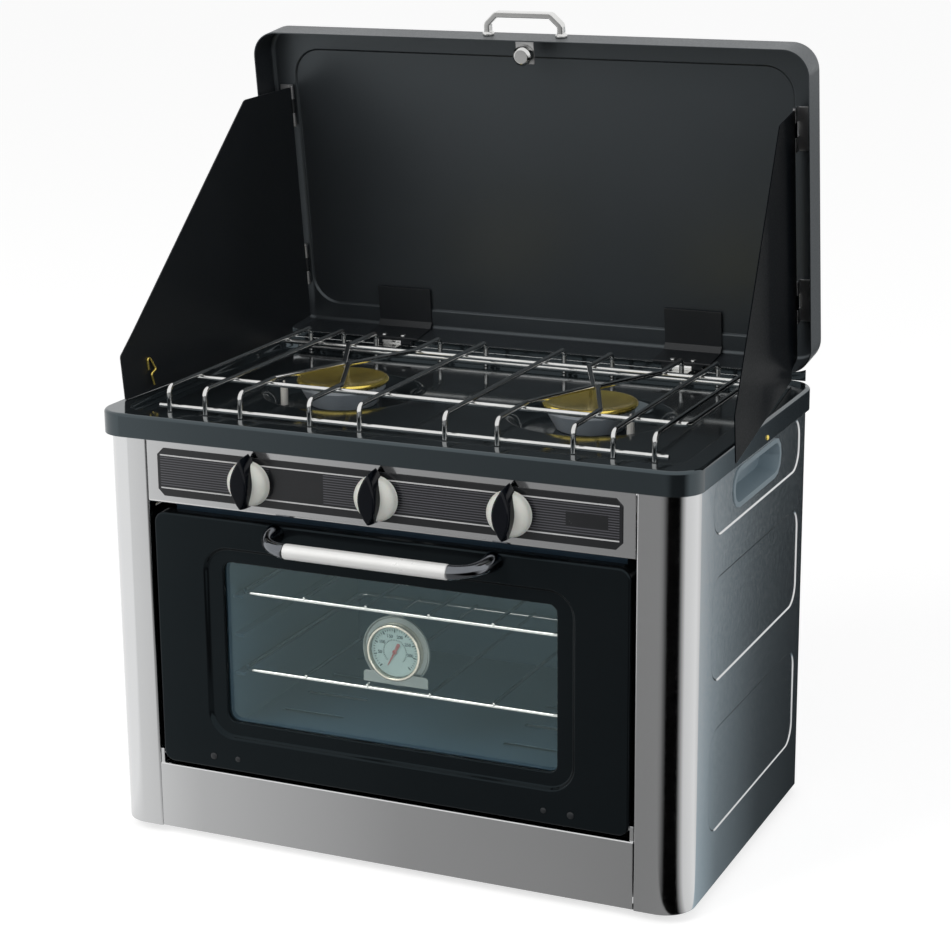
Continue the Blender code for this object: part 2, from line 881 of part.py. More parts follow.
def plinth_panel():
    """The plinth, with the lugs and pins that carry the door."""
    half = POST_INNER - GAP
    fold = [FOLD_RADIUS] * 4
    profile = [(POST_FLANGE, PLINTH_TOP), (0, PLINTH_TOP), (0, 0), (POST_FLANGE, 0)]
    sheet = profile_bar(profile, fold, -half, half, SHEET)
    lugs = []
    for side in (-1, 1):
        inner = DOOR_HALF + LUG_CLEARANCE
        x0, x1 = sorted((side * inner, side * half))
        lugs.append(
            box(
                (x0, HINGE_Y - LUG_HALF_DEPTH, PLINTH_TOP - BITE),
                (x1, HINGE_Y + LUG_HALF_DEPTH, HINGE_Z + LUG_HALF_DEPTH),
            )
        )
        tip = side * (DOOR_HALF - HINGE_PIN_REACH)
        root = side * (inner + BITE)
        lugs.append(cylinder(HINGE_PIN_RADIUS, (root, HINGE_Y, HINGE_Z), (tip, HINGE_Y, HINGE_Z)))
    return joined([sheet, *lugs])


def control_panel():
    """The steel panel that carries the taps, folded back below and under the rim."""
    half = POST_INNER - GAP
    top = RIM_TOP - SHEET - GAP
    profile = [(PANEL_TOP_FOLD, top), (0, top), (0, PANEL_BOTTOM), (PANEL_FOLD, PANEL_BOTTOM)]
    sheet = profile_bar(profile, [FOLD_RADIUS] * 4, -half, half, SHEET)
    holes = [
        cylinder(
            SPINDLE_RADIUS + RUNNING_GAP, (x, -OVERRUN, KNOB_Z), (x, SHEET + OVERRUN, KNOB_Z), SMALL_STEPS
        )
        for x in KNOB_XS
    ]
    return cut(sheet, holes)


def control_label():
    """The printed plate behind the knobs, with clipped corners."""
    clip = LABEL_CHAMFER
    outline = [
        (-LABEL_HALF + clip, LABEL_BOTTOM),
        (LABEL_HALF - clip, LABEL_BOTTOM),
        (LABEL_HALF, LABEL_BOTTOM + clip),
        (LABEL_HALF, LABEL_TOP - clip),
        (LABEL_HALF - clip, LABEL_TOP),
        (-LABEL_HALF + clip, LABEL_TOP),
        (-LABEL_HALF, LABEL_TOP - clip),
        (-LABEL_HALF, LABEL_BOTTOM + clip),
    ]
    sheet = moved(upright(plate(outline, LABEL_THICK)), (0, -GAP - LABEL_THICK / 2, 0))
    holes = [
        cylinder(SPINDLE_RADIUS + RUNNING_GAP, (x, -OVERRUN, KNOB_Z), (x, OVERRUN, KNOB_Z), SMALL_STEPS)
        for x in KNOB_XS
    ]
    return cut(sheet, holes)


def gas_manifold():
    """The gas pipe with its three taps, the oven's pipe and the inlet at the back."""
    rear = CABINET_DEPTH + INLET_REACH
    rail_end = KNOB_XS[-1]
    rail = wire(
        rounded_path(
            [
                (rail_end, PIPE_Y, KNOB_Z),
                (INLET_X, PIPE_Y, KNOB_Z),
                (INLET_X, rear - INLET_REACH * 2, KNOB_Z),
            ],
            PIPE_RADIUS * 3,
        ),
        PIPE_RADIUS,
    )
    shapes = [rail]
    for x in KNOB_XS:
        shapes.append(cylinder(TAP_RADIUS, (x, TAP_FRONT, KNOB_Z), (x, TAP_REAR, KNOB_Z)))
    inlet = turned(
        [
            (0, INLET_REACH),
            (NOSE_RADIUS, INLET_REACH),
            (NOSE_RADIUS, INLET_REACH / 3),
            (INLET_RADIUS, INLET_REACH / 3),
            (INLET_RADIUS, -INLET_REACH * 1.5),
            (0, -INLET_REACH * 1.5),
        ],
        SMALL_STEPS,
    )
    shapes.append(moved(turned_about(inlet, math.radians(-90), "X"), (INLET_X, CABINET_DEPTH, KNOB_Z)))
    middle = KNOB_XS[1]
    level = KNOB_Z - OVEN_PIPE_DROP - TAP_RADIUS / 2
    beside = (TUBE_REACH + LINER_FLANGE_HALF) / 2
    run = [
        (middle, PIPE_Y, KNOB_Z),
        (middle, PIPE_Y, level),
        (beside, PIPE_Y, level),
        (beside, TUBE_Y, level),
        (beside, TUBE_Y, TUBE_Z),
        (TUBE_REACH + GAP, TUBE_Y, TUBE_Z),
    ]
    shapes.append(wire(rounded_path(run, OVEN_PIPE_RADIUS * 2.5), OVEN_PIPE_RADIUS))
    return joined(shapes)


# Oven


def oven_liner():
    """The oven's cavity and front flange, with ledges for the floor plate and the racks."""
    mouth = LINER_FRONT
    depth = CAVITY_REAR - mouth

    def ring(half, low, high, radius, y):
        return rounded_rectangle(-half, half, low, high, radius), mouth - y

    radius = CAVITY_CORNER
    rings = [
        ring(LINER_FLANGE_HALF, LINER_FLANGE_BOTTOM, LINER_FLANGE_TOP, FOLD_RADIUS, mouth),
        ring(CAVITY_HALF, CAVITY_BOTTOM, CAVITY_TOP, radius, mouth),
        ring(CAVITY_HALF, CAVITY_BOTTOM, CAVITY_TOP, radius, mouth + depth),
    ]
    shell = moved(upright(pressed_sheet(rings, LINER_SHEET)), (0, mouth, 0))
    ribs = []
    levels = [FLOOR_TOP - LINER_SHEET - GAP]
    levels += [level - RACK_RADIUS - GAP for level in RACK_HEIGHTS]
    levels.append(sum(RACK_HEIGHTS) / 2 - RACK_RADIUS - GAP)
    for side in (-1, 1):
        for level in levels:
            x0, x1 = sorted((side * (CAVITY_HALF + BITE), side * (CAVITY_HALF - RIB_DEPTH)))
            ribs.append(box((x0, RIB_FRONT, level - RIB_THICK), (x1, RIB_REAR, level)))
    shell = joined([shell, *ribs])
    hole = cylinder(
        TUBE_RADIUS + GAP,
        (CAVITY_HALF - OVERRUN, TUBE_Y, TUBE_Z),
        (CAVITY_HALF + LINER_SHEET + OVERRUN, TUBE_Y, TUBE_Z),
    )
    return cut(shell, [hole])


def oven_floor_plate():
    """The plate over the oven burner, with rows of slots."""
    half = CAVITY_HALF - GAP
    sheet = box((-half, RIB_FRONT, FLOOR_TOP - LINER_SHEET), (half, CAVITY_REAR - GAP, FLOOR_TOP))
    slots = []
    for side in (-1, 1):
        for row in range(4):
            y = RIB_FRONT + (CAVITY_REAR - RIB_FRONT) * (row + 1) / 5
            x = side * FLOOR_SLOT_X
            slots.append(
                box(
                    (x - VENT_LENGTH / 2, y - VENT_WIDTH / 2, FLOOR_TOP - LINER_SHEET - OVERRUN),
                    (x + VENT_LENGTH / 2, y + VENT_WIDTH / 2, FLOOR_TOP + OVERRUN),
                )
            )
    return cut(sheet, slots)


def oven_burner():
    """The tube burner under the floor plate."""
    return cylinder(TUBE_RADIUS, (-CAVITY_HALF + GAP, TUBE_Y, TUBE_Z), (TUBE_REACH, TUBE_Y, TUBE_Z))


def oven_rack():
    """A rack of welded wire, its frame centred on Z = 0."""
    corners = [
        (-RACK_HALF, RACK_FRONT, 0),
        (RACK_HALF, RACK_FRONT, 0),
        (RACK_HALF, RACK_REAR, 0),
        (-RACK_HALF, RACK_REAR, 0),
    ]
    frame = wire(rounded_path(corners, RACK_CORNER, 2, closed=True), RACK_RADIUS, closed=True)
    end = RACK_RADIUS
    bars = [
        wire([(x, RACK_FRONT - end, RACK_DROP), (x, RACK_REAR + end, RACK_DROP)], RACK_CROSS_RADIUS)
        for x in RACK_CROSS_XS
    ]
    return joined([frame, *bars])


# Hob


def hob_top():
    """The pressed hob with its rim, its sunk field and the two burner bowls."""
    front = RIM_FRONT
    rear = RIM_REAR
    field = RIM_TOP - FIELD_DROP

    def ring(inset, height, radius):
        return (
            rounded_rectangle(-RIM_HALF + inset, RIM_HALF - inset, front + inset, rear - inset, radius),
            height,
        )

    rings = [ring(0, RIM_TOP - RIM_SKIRT, RIM_CORNER)]
    for step in range(EDGE_STEPS + 1):
        angle = math.pi / 2 * step / EDGE_STEPS
        inset = RIM_EDGE * (1 - math.cos(angle))
        height = RIM_TOP - RIM_EDGE * (1 - math.sin(angle))
        rings.append(ring(inset, height, RIM_CORNER - inset))
    rings.append(ring(RIM_FLAT, RIM_TOP, FIELD_CORNER + RIM_SLOPE))
    rings.append(ring(RIM_FLAT + RIM_SLOPE, field, FIELD_CORNER))
    floor = field - BOWL_DEPTH
    bowls = []
    for side in (-1, 1):
        x = side * BURNER_X
        bowl = [
            (circle(x, BURNER_Y, BOWL_RADIUS), field),
            (circle(x, BURNER_Y, BOWL_RADIUS - BOWL_SLOPE), floor),
            (circle(x, BURNER_Y, BOWL_HOLE), floor),
        ]
        bowls.append(bowl)
    return pressed_sheet(rings, SHEET, bowls)


def burner_body():
    """The burner's flared cup and neck on its mixer tube, centred on its bowl."""
    floor = RIM_TOP - FIELD_DROP - BOWL_DEPTH
    seat = floor + GAP
    cup_top = CAP_TOP - CAP_RISE - CAP_EDGE - GAP
    well = cup_top - CAP_SPIGOT_DEPTH - 2 * GAP
    low = floor - SHEET - MIXER_DROP
    spigot = CAP_SPIGOT + 2 * GAP
    cup = turned(
        [
            (0, well),
            (spigot, well),
            (spigot, cup_top),
            (CUP_RADIUS, cup_top),
            (CUP_RADIUS, cup_top - CUP_WALL),
            (CUP_FLANGE, seat),
            (NECK_RADIUS, seat),
            (NECK_RADIUS, low - MIXER_RADIUS),
            (0, low - MIXER_RADIUS),
        ]
    )
    mouth = TAP_REAR + GAP - BURNER_Y
    tube = cylinder(MIXER_RADIUS, (0, 0, low), (0, mouth + MIXER_MOUTH_LENGTH, low))
    bell = cylinder(
        MIXER_MOUTH,
        (0, mouth + MIXER_MOUTH_LENGTH + BITE, low),
        (0, mouth, low),
    )
    return joined([cup, tube, bell])


def burner_cap():
    """The brass cap: a low dome on a ring of flame ports."""
    edge = CAP_TOP - CAP_RISE
    under = edge - CAP_EDGE
    dome = [(CAP_RADIUS * share, edge + CAP_RISE * (1 - share * share)) for share in (0, 0.4, 0.7, 0.9, 1)]
    cap = turned(
        [
            *dome,
            (CAP_RADIUS, under),
            (CAP_SPIGOT, under),
            (CAP_SPIGOT, under - CAP_SPIGOT_DEPTH),
            (0, under - CAP_SPIGOT_DEPTH),
        ]
    )
    ports = []
    for number in range(PORT_COUNT):
        angle = 2 * math.pi * number / PORT_COUNT
        tool = box(
            (CAP_SPIGOT - PORT_WIDTH, -PORT_WIDTH / 2, under - CAP_SPIGOT_DEPTH - OVERRUN),
            (CAP_SPIGOT + OVERRUN, PORT_WIDTH / 2, under - BITE),
        )
        ports.append(turned_about(tool, angle, "Z"))
    return cut(cap, ports)


def electrode():
    """The igniter beside a burner: a ceramic stem with its metal pin."""
    floor = RIM_TOP - FIELD_DROP - BOWL_DEPTH + GAP
    shoulder = ELECTRODE_TIP - ELECTRODE_RADIUS
    return turned(
        [
            (0, ELECTRODE_TIP),
            (ELECTRODE_PIN, ELECTRODE_TIP),
            (ELECTRODE_PIN, shoulder),
            (ELECTRODE_RADIUS, shoulder),
            (ELECTRODE_RADIUS, floor),
            (0, floor),
        ],
        SMALL_STEPS,
    )


def pan_support():
    """The pan support: bent bars on welded cross wires, standing on the hob."""
    foot_z = RIM_TOP - FIELD_DROP + GAP
    front_wire = SUPPORT_FRONT + WIRE
    rear_wire = SUPPORT_REAR - WIRE
    under = BAR_TOP_Z - 2 * WIRE + WELD
    shapes = []

    def long_wire(y, z):
        return wire([(-SUPPORT_HALF - WIRE, y, z), (SUPPORT_HALF + WIRE, y, z)], WIRE)

    frame = [
        (-SUPPORT_HALF, CROSS_FRONT, under),
        (SUPPORT_HALF, CROSS_FRONT, under),
        (SUPPORT_HALF, CROSS_REAR, under),
        (-SUPPORT_HALF, CROSS_REAR, under),
    ]
    shapes.append(wire(rounded_path(frame, SUPPORT_BEND, 1, closed=True), WIRE, closed=True))
    for side in (-1, 1):
        for x in STRAIGHT_XS:
            path = [
                (side * x, SUPPORT_FRONT, foot_z),
                (side * x, SUPPORT_FRONT, BAR_TOP_Z),
                (side * x, SUPPORT_REAR, BAR_TOP_Z),
                (side * x, SUPPORT_REAR, foot_z),
            ]
            shapes.append(wire(rounded_path(path, SUPPORT_BEND, 1), WIRE))
        for x, lean in zip(VEE_XS, (1, -1)):
            meet = sum(VEE_XS) / 2 - lean * (WIRE - WELD / 2)
            path = [
                (side * x, SUPPORT_FRONT, foot_z),
                (side * x, SUPPORT_FRONT, BAR_TOP_Z),
                (side * x, VEE_FRONT, BAR_TOP_Z),
                (side * meet, VEE_MIDDLE, BAR_TOP_Z),
                (side * x, VEE_REAR, BAR_TOP_Z),
                (side * x, SUPPORT_REAR, BAR_TOP_Z),
                (side * x, SUPPORT_REAR, foot_z),
            ]
            shapes.append(wire(rounded_path(path, SUPPORT_BEND, 1), WIRE))
    shapes.append(long_wire(front_wire + WELD, LOWER_WIRE_Z))
    shapes.append(long_wire(rear_wire - WELD, LOWER_WIRE_Z))
    return joined(shapes)


# Knobs and taps


def valve_spindle():
    """The spindle of a tap, along Y through the panel, from the knob to the tap."""
    return cylinder(SPINDLE_RADIUS, (0, -SPINDLE_FRONT, 0), (0, TAP_FRONT - GAP - KNOB_TRAVEL, 0))


def knob_dome(grow):
    """The outer profile of a knob's dome, grown by a clearance, down to the foot of its side."""
    dome = [(0, KNOB_FRONT + grow)]
    steps = 4
    for step in range(steps + 1):
        angle = math.pi / 2 * step / steps
        radius = KNOB_FLAT + (KNOB_RADIUS - KNOB_FLAT) * math.sin(angle)
        height = KNOB_BACK + KNOB_RIM + (KNOB_FRONT - KNOB_BACK - KNOB_RIM) * math.cos(angle)
        dome.append((radius + grow, height + grow))
    return dome


def knob_skirt():
    """The ivory dome of a knob, with the bore for its spindle."""
    bore = SPINDLE_RADIUS + GAP
    depth = SPINDLE_FRONT + GAP
    side = [(KNOB_RADIUS, KNOB_BACK), (bore, KNOB_BACK), (bore, depth), (0, depth)]
    return facing(turned([*knob_dome(0), *side], KNOB_STEPS))


def knob_grip():
    """The black grip across the dome of a knob: a lens pointed at both ends, seen from the front."""
    outline = []
    for side in (1, -1):
        for step in range(GRIP_STEPS):
            share = step / GRIP_STEPS
            rise = share if side > 0 else 1 - share
            bulge = side * GRIP_HALF * math.sin(math.pi * rise)
            outline.append((bulge, (GRIP_TIP + GRIP_FOOT) * rise - GRIP_FOOT))
    lens = upright(plate(outline, GRIP_FRONT - KNOB_BACK))
    lens = beveled(moved(lens, (0, -(GRIP_FRONT + KNOB_BACK) / 2, 0)), GRIP_EDGE)
    room = facing(turned([*knob_dome(GAP), (KNOB_RADIUS + GAP, 0), (0, 0)], KNOB_STEPS))
    return cut(lens, [room])


def beveled(mesh, width):
    """A solid with its sharp edges rounded."""
    body = helper(mesh)
    edge = body.modifiers.new("Bevel", "BEVEL")
    edge.width = width
    edge.segments = 1
    edge.limit_method = "ANGLE"
    edge.angle_limit = math.radians(40)
    return evaluated(body)


# Door, in its own frame: the origin is on its hinge axis


def in_door(mesh):
    """A mesh made in cabinet places, brought to the door's frame."""
    return moved(mesh, (0, -HINGE_Y, -HINGE_Z))


def door_frame():
    """The pressed black front of the door, with its stepped window frame."""

    def ring(half, low, high, radius, y, steps=CORNER_STEPS):
        return rounded_rectangle(-half, half, low, high, radius, steps), -y

    rings = [
        ring(DOOR_HALF, DOOR_BOTTOM, DOOR_TOP, DOOR_CORNER, DOOR_DEPTH),
    ]
    for step in range(EDGE_STEPS + 1):
        angle = math.pi / 2 * step / EDGE_STEPS
        inset = DOOR_EDGE * (1 - math.cos(angle))
        y = DOOR_EDGE * (1 - math.sin(angle))
        rings.append(
            ring(DOOR_HALF - inset, DOOR_BOTTOM + inset, DOOR_TOP - inset, DOOR_CORNER - inset, y)
        )
    low = STEP_SLOPE
    rings += [
        ring(STEP_HALF, STEP_BOTTOM, STEP_TOP, STEP_CORNER, 0),
        ring(STEP_HALF - low, STEP_BOTTOM + low, STEP_TOP - low, STEP_CORNER - low, STEP_DEPTH),
        ring(WINDOW_HALF, WINDOW_BOTTOM, WINDOW_TOP, WINDOW_CORNER, STEP_DEPTH),
        ring(WINDOW_HALF, WINDOW_BOTTOM, WINDOW_TOP, WINDOW_CORNER, GLASS_FRONT - GAP),
    ]
    sheet = upright(pressed_sheet(rings, SHEET, fill=False))
    holes = []
    for side in (-1, 1):
        start = side * (DOOR_HALF - DOOR_CORNER)
        end = side * (DOOR_HALF + OVERRUN)
        radius = HINGE_PIN_RADIUS + GAP
        holes.append(cylinder(radius, (start, HINGE_Y, HINGE_Z), (end, HINGE_Y, HINGE_Z)))
    return in_door(cut(sheet, holes))


def door_glass():
    """The window pane, held between the frame and the inner panel."""
    half = WINDOW_HALF + GLASS_MARGIN
    points = rounded_rectangle(
        -half, half, WINDOW_BOTTOM - GLASS_MARGIN, WINDOW_TOP + GLASS_MARGIN, WINDOW_CORNER, 3
    )
    pane = upright(plate(points, GLASS_THICK))
    return in_door(moved(pane, (0, GLASS_FRONT + GLASS_THICK / 2, 0)))


def door_inner_panel():
    """The back of the door: a pressed panel whose window lip holds the glass."""

    def ring(half, low, high, radius, y):
        return rounded_rectangle(-half, half, low, high, radius), -y

    edge = INNER_MARGIN / 2
    slope = INNER_RAISE_SLOPE
    sheet = INNER_SHEET
    flat = DOOR_DEPTH + GAP + sheet
    lip = GLASS_FRONT + GLASS_THICK + GAP
    rings = [
        ring(DOOR_HALF - edge, DOOR_BOTTOM + edge, DOOR_TOP - edge, DOOR_CORNER - edge, flat),
        ring(
            INNER_RAISE_HALF + slope,
            INNER_RAISE_BOTTOM - slope,
            INNER_RAISE_TOP + slope,
            INNER_CORNER + slope,
            flat,
        ),
        ring(INNER_RAISE_HALF, INNER_RAISE_BOTTOM, INNER_RAISE_TOP, INNER_CORNER, INNER_REAR),
        ring(WINDOW_HALF, WINDOW_BOTTOM, WINDOW_TOP, WINDOW_CORNER, INNER_REAR),
        ring(WINDOW_HALF, WINDOW_BOTTOM, WINDOW_TOP, WINDOW_CORNER, lip),
    ]
    # pressed as seen from the back, so the depths are turned over
    mesh = pressed_sheet([(points, -depth) for points, depth in rings], sheet, fill=False)
    return in_door(upright(turned_over(mesh)))


def door_gasket():
    """The round seal behind the door."""
    y = INNER_REAR + GAP + GASKET_RADIUS
    corners = [
        (-GASKET_HALF, y, GASKET_BOTTOM),
        (GASKET_HALF, y, GASKET_BOTTOM),
        (GASKET_HALF, y, GASKET_TOP),
        (-GASKET_HALF, y, GASKET_TOP),
    ]
    path = rounded_path(corners, INNER_CORNER, 2, closed=True)
    return in_door(wire(path, GASKET_RADIUS, closed=True))


def handle_bar():
    """The satin bar of the door handle."""
    return in_door(cylinder(BAR_RADIUS, (-BAR_HALF, BAR_Y, BAR_Z), (BAR_HALF, BAR_Y, BAR_Z), BAR_STEPS))


def handle_bracket():
    """The right bracket, sweeping from the bar's end back to the door."""
    start = BAR_HALF + GAP
    reach = BRACKET_X - start
    rise = BRACKET_Z - BAR_Z
    path = []
    radii_shares = []
    steps = 8
    for step in range(steps + 1):
        angle = math.pi / 2 * step / steps
        x = start + reach * math.sin(angle)
        y = BAR_Y * math.cos(angle) ** 0.8 if step < steps else -GAP
        z = BAR_Z + rise * step / steps
        path.append((x, y, z))
        waist = 1 - 0.25 * math.sin(math.pi * step / steps)
        foot_share = 1 + (BRACKET_FOOT / BAR_RADIUS - 1) * step / steps
        radii_shares.append(waist * foot_share)
    path[0] = (start, BAR_Y, BAR_Z)
    path.insert(1, (start + reach / 8, BAR_Y, BAR_Z))
    radii_shares.insert(1, 1)
    path[-2] = (BRACKET_X, path[-2][1], BRACKET_Z)
    path[-1] = (BRACKET_X, -GAP, BRACKET_Z)
    return in_door(wire(path, BAR_RADIUS, radii_shares=radii_shares, resolution=TUBE_RESOLUTION))


# Thermometer, its own frame at the middle of its dial, z pointing at the front


def thermometer_stand():
    """The stand: a plate behind the case with a foot and a tab that hooks on the upper rack."""
    hook = RACK_HEIGHTS[1] - DIAL_Z
    seat = RACK_HEIGHTS[0] + RACK_DROP + RACK_CROSS_RADIUS + GAP - DIAL_Z
    outline = rounded_path(
        [
            (-DIAL_STAND_HALF, seat, 0),
            (DIAL_STAND_HALF, seat, 0),
            (DIAL_STAND_WAIST, seat + DIAL_TAB_HALF, 0),
            (BEZEL_RADIUS, 0, 0),
            (DIAL_TAB_HALF, BEZEL_RADIUS, 0),
            (DIAL_TAB_HALF, hook - RACK_RADIUS - GAP, 0),
            (-DIAL_TAB_HALF, hook - RACK_RADIUS - GAP, 0),
            (-DIAL_TAB_HALF, BEZEL_RADIUS, 0),
            (-BEZEL_RADIUS, 0, 0),
            (-DIAL_STAND_WAIST, seat + DIAL_TAB_HALF, 0),
        ],
        0,
        closed=True,
    )
    return moved(facing_plate(outline, BRACKET_SHEET), (0, -BITE / 2, 0))


def facing_plate(outline, thickness):
    """A plate standing in X and Z, its front face at Y = 0."""
    return moved(
        upright(plate([(point.x, point.y) for point in outline], thickness)), (0, thickness / 2, 0)
    )


def thermometer_case():
    """The round case with its wide ring and its bezel, welded to its stand."""
    floor = CASE_DEPTH / 2
    glassed = BEZEL_RADIUS - BEZEL_RISE * 2
    profile = [
        (0, floor),
        (glassed, floor),
        (glassed, CASE_DEPTH + BEZEL_RISE),
        (BEZEL_RADIUS, CASE_DEPTH + BEZEL_RISE / 2),
        (CASE_RADIUS, CASE_DEPTH),
        (CASE_RADIUS, CASE_DEPTH - BEZEL_RISE),
        (BEZEL_RADIUS, CASE_DEPTH - BEZEL_RISE),
        (BEZEL_RADIUS, 0),
        (0, 0),
    ]
    return joined([facing(turned(profile)), thermometer_stand()])


def thermometer_dial():
    """The dial plate in the case."""
    floor = CASE_DEPTH / 2 + GAP
    radius = BEZEL_RADIUS - BEZEL_RISE * 2 - GAP
    thick = BRACKET_SHEET
    return facing(turned([(0, floor + thick), (radius, floor + thick), (radius, floor), (0, floor)]))


def thermometer_needle():
    """The red needle on its hub: a long thin tip and a wide tail with clipped corners."""
    floor = CASE_DEPTH / 2 + 2 * GAP + BRACKET_SHEET
    thick = BRACKET_SHEET
    hub = cylinder(NEEDLE_HUB, (0, 0, floor), (0, 0, floor + thick))
    clip = NEEDLE_HALF / 2
    tip = NEEDLE_HALF / 6
    blade = plate(
        [(-clip, -NEEDLE_TAIL), (clip, -NEEDLE_TAIL), (NEEDLE_HALF, clip - NEEDLE_TAIL), (tip, NEEDLE_LENGTH),
         (-tip, NEEDLE_LENGTH), (-NEEDLE_HALF, clip - NEEDLE_TAIL)],
        thick / 2,
    )
    return facing(joined([hub, moved(blade, (0, 0, floor + thick / 2))]))


# Lid, in its own frame


def lid_shell():
    """The lid: a pressed tray, open to the front, with an embossed back panel."""
    low = LID_BOTTOM
    high = LID_BOTTOM + LID_HEIGHT
    front = LID_FRONT
    back = LID_FRONT + LID_DEPTH
    border = back - EMBOSS_DEPTH

    def ring(inset, y):
        points = rounded_rectangle(
            -LID_HALF + inset, LID_HALF - inset, low + inset, high - inset, LID_CORNER - inset
        )
        return points, y

    def emboss_ring(inset, y):
        points = rounded_rectangle(
            -EMBOSS_HALF + inset,
            EMBOSS_HALF - inset,
            EMBOSS_BOTTOM + inset,
            EMBOSS_TOP - inset,
            EMBOSS_CORNER - inset,
        )
        return points, y

    rings = [ring(0, front)]
    for step in range(EDGE_STEPS + 2):
        angle = math.pi / 2 * step / (EDGE_STEPS + 1)
        inset = LID_EDGE * (1 - math.cos(angle))
        rings.append(ring(inset, border - LID_EDGE * (1 - math.sin(angle))))
    rings.append(emboss_ring(0, border))
    rings.append(emboss_ring(EMBOSS_SLOPE, back))
    # pressed as seen from the back
    mesh = pressed_sheet(rings, LID_SHEET)
    return upright(turned_over(mesh))


def lid_hinge_bracket():
    """The right hinge's lid leaf: down the back, along the bottom wall and round the pin."""
    sheet = LEAF_SHEET
    back = LID_FRONT + LID_DEPTH - EMBOSS_DEPTH - LID_SHEET - GAP
    over = LID_BOTTOM + LID_SHEET + GAP + sheet
    wrap = LID_FRONT - GAP - sheet
    x0 = HINGE_CENTRE_X - HINGE_PLATE_HALF
    x1 = HINGE_CENTRE_X + HINGE_PLATE_HALF
    # the path's right side is the sheet's outer side, towards the front
    clear = LID_EDGE
    path = [
        (wrap, 0),
        (wrap, over),
        (back - clear - sheet, over),
        (back - sheet, over + clear),
        (back - sheet, LID_BOTTOM + BRACKET_RISE),
    ]
    outer = [(y, z, 0) for y, z in path]
    strip = folded_sheet_left(rounded_path(outer, [0, sheet, sheet, sheet, 0], 2), x0, x1, sheet)
    barrels = []
    for side in (-1, 1):
        inner = HINGE_CENTRE_X + side * (HINGE_MIDDLE_HALF + GAP)
        outer_x = HINGE_CENTRE_X + side * HINGE_BARREL_HALF
        barrels.append(cylinder(BARREL_RADIUS, (inner, 0, 0), (outer_x, 0, 0)))
    whole = joined([strip, *barrels])
    notches = []
    tall = LID_BOTTOM - GAP
    for low_x, high_x in (
        (x0 - OVERRUN, HINGE_CENTRE_X - HINGE_BARREL_HALF),
        (HINGE_CENTRE_X - HINGE_MIDDLE_HALF - GAP, HINGE_CENTRE_X + HINGE_MIDDLE_HALF + GAP),
        (HINGE_CENTRE_X + HINGE_BARREL_HALF, x1 + OVERRUN),
    ):
        notches.append(box((low_x, -LID_DEPTH / 2, -LID_DEPTH / 2), (high_x, LID_FRONT + GAP, tall)))
    bore = cylinder(
        LID_PIN_RADIUS + GAP,
        (HINGE_CENTRE_X - HINGE_BARREL_HALF - OVERRUN, 0, 0),
        (HINGE_CENTRE_X + HINGE_BARREL_HALF + OVERRUN, 0, 0),
    )
    return cut(whole, [*notches, bore])


def folded_sheet_left(path, x0, x1, thickness):
    """A sheet folded to a profile of (y, z), run along X, thickened towards the left of the path."""
    backwards = list(reversed(path))
    mesh = folded_sheet(backwards, x0, x1, thickness)
    mesh.transform(Matrix(((0, 0, 1, 0), (1, 0, 0, 0), (0, 1, 0, 0), (0, 0, 0, 1))))
    return mesh


def lid_hinge_leaf():
    """The right hinge's hob leaf with its middle barrel and the pin."""
    low = RIM_TOP + GAP - LID_HINGE_Z
    half = HINGE_MIDDLE_HALF
    flat = box(
        (HINGE_CENTRE_X - half, -LEAF_REACH, low),
        (HINGE_CENTRE_X + half, 0, low + LEAF_SHEET),
    )
    barrel = cylinder(
        BARREL_RADIUS, (HINGE_CENTRE_X - half, 0, 0), (HINGE_CENTRE_X + half, 0, 0)
    )
    pin = cylinder(
        LID_PIN_RADIUS,
        (HINGE_CENTRE_X - HINGE_BARREL_HALF, 0, 0),
        (HINGE_CENTRE_X + HINGE_BARREL_HALF, 0, 0),
    )
    return joined([barrel, flat, pin])


def lid_handle():
    """The flat angular bail on top of the lid, with its two round feet."""
    base = LID_BOTTOM + LID_HEIGHT + GAP
    y = LID_FRONT + LID_DEPTH / 2
    stem = base + BAIL_STEM
    half = BAIL_THICK / 2
    top = base + BAIL_HEIGHT
    # the path is the strip's outer face, run so that its metal lies under it
    path = [
        (-BAIL_HALF - half, base, 0),
        (-BAIL_HALF - half, stem, 0),
        (-BAIL_TOP_HALF, top, 0),
        (BAIL_TOP_HALF, top, 0),
        (BAIL_HALF + half, stem, 0),
        (BAIL_HALF + half, base, 0),
    ]
    strip = folded_sheet(list(reversed(path)), -BAIL_WIDTH / 2, BAIL_WIDTH / 2, BAIL_THICK)
    shapes = [moved(upright(strip), (0, y, 0))]
    for side in (-1, 1):
        x = side * BAIL_HALF
        shapes.append(
            cylinder(BAIL_FOOT_RADIUS, (x, y, base), (x, y, base + BAIL_FOOT_HEIGHT))
        )
    return joined(shapes)


def lid_latch():
    """The round catch under the lid's top wall, with the stem that carries it."""
    knob = [
        (0, LATCH_LENGTH),
        (LATCH_RADIUS - LATCH_ROUND, LATCH_LENGTH),
        (LATCH_RADIUS, LATCH_LENGTH - LATCH_ROUND),
        (LATCH_RADIUS, 0),
        (0, 0),
    ]
    return facing(turned(knob))


def latch_plate():
    """The bent plate that carries the catch, hung under the lid's top wall."""
    top = LID_BOTTOM + LID_HEIGHT - LID_SHEET - GAP
    wide = LATCH_RADIUS * 2
    y = LID_FRONT + LATCH_LENGTH
    hang = LATCH_DROP + LATCH_RADIUS
    flat = box((LATCH_X - wide, y, top - LEAF_SHEET), (LATCH_X + wide, y + wide, top))
    tab = box((LATCH_X - LATCH_RADIUS, y, top - hang), (LATCH_X + LATCH_RADIUS, y + LEAF_SHEET, top))
    return joined([flat, tab])


# Wind shields, in their own frames on their hinges: -y along the shield, z along the hinge


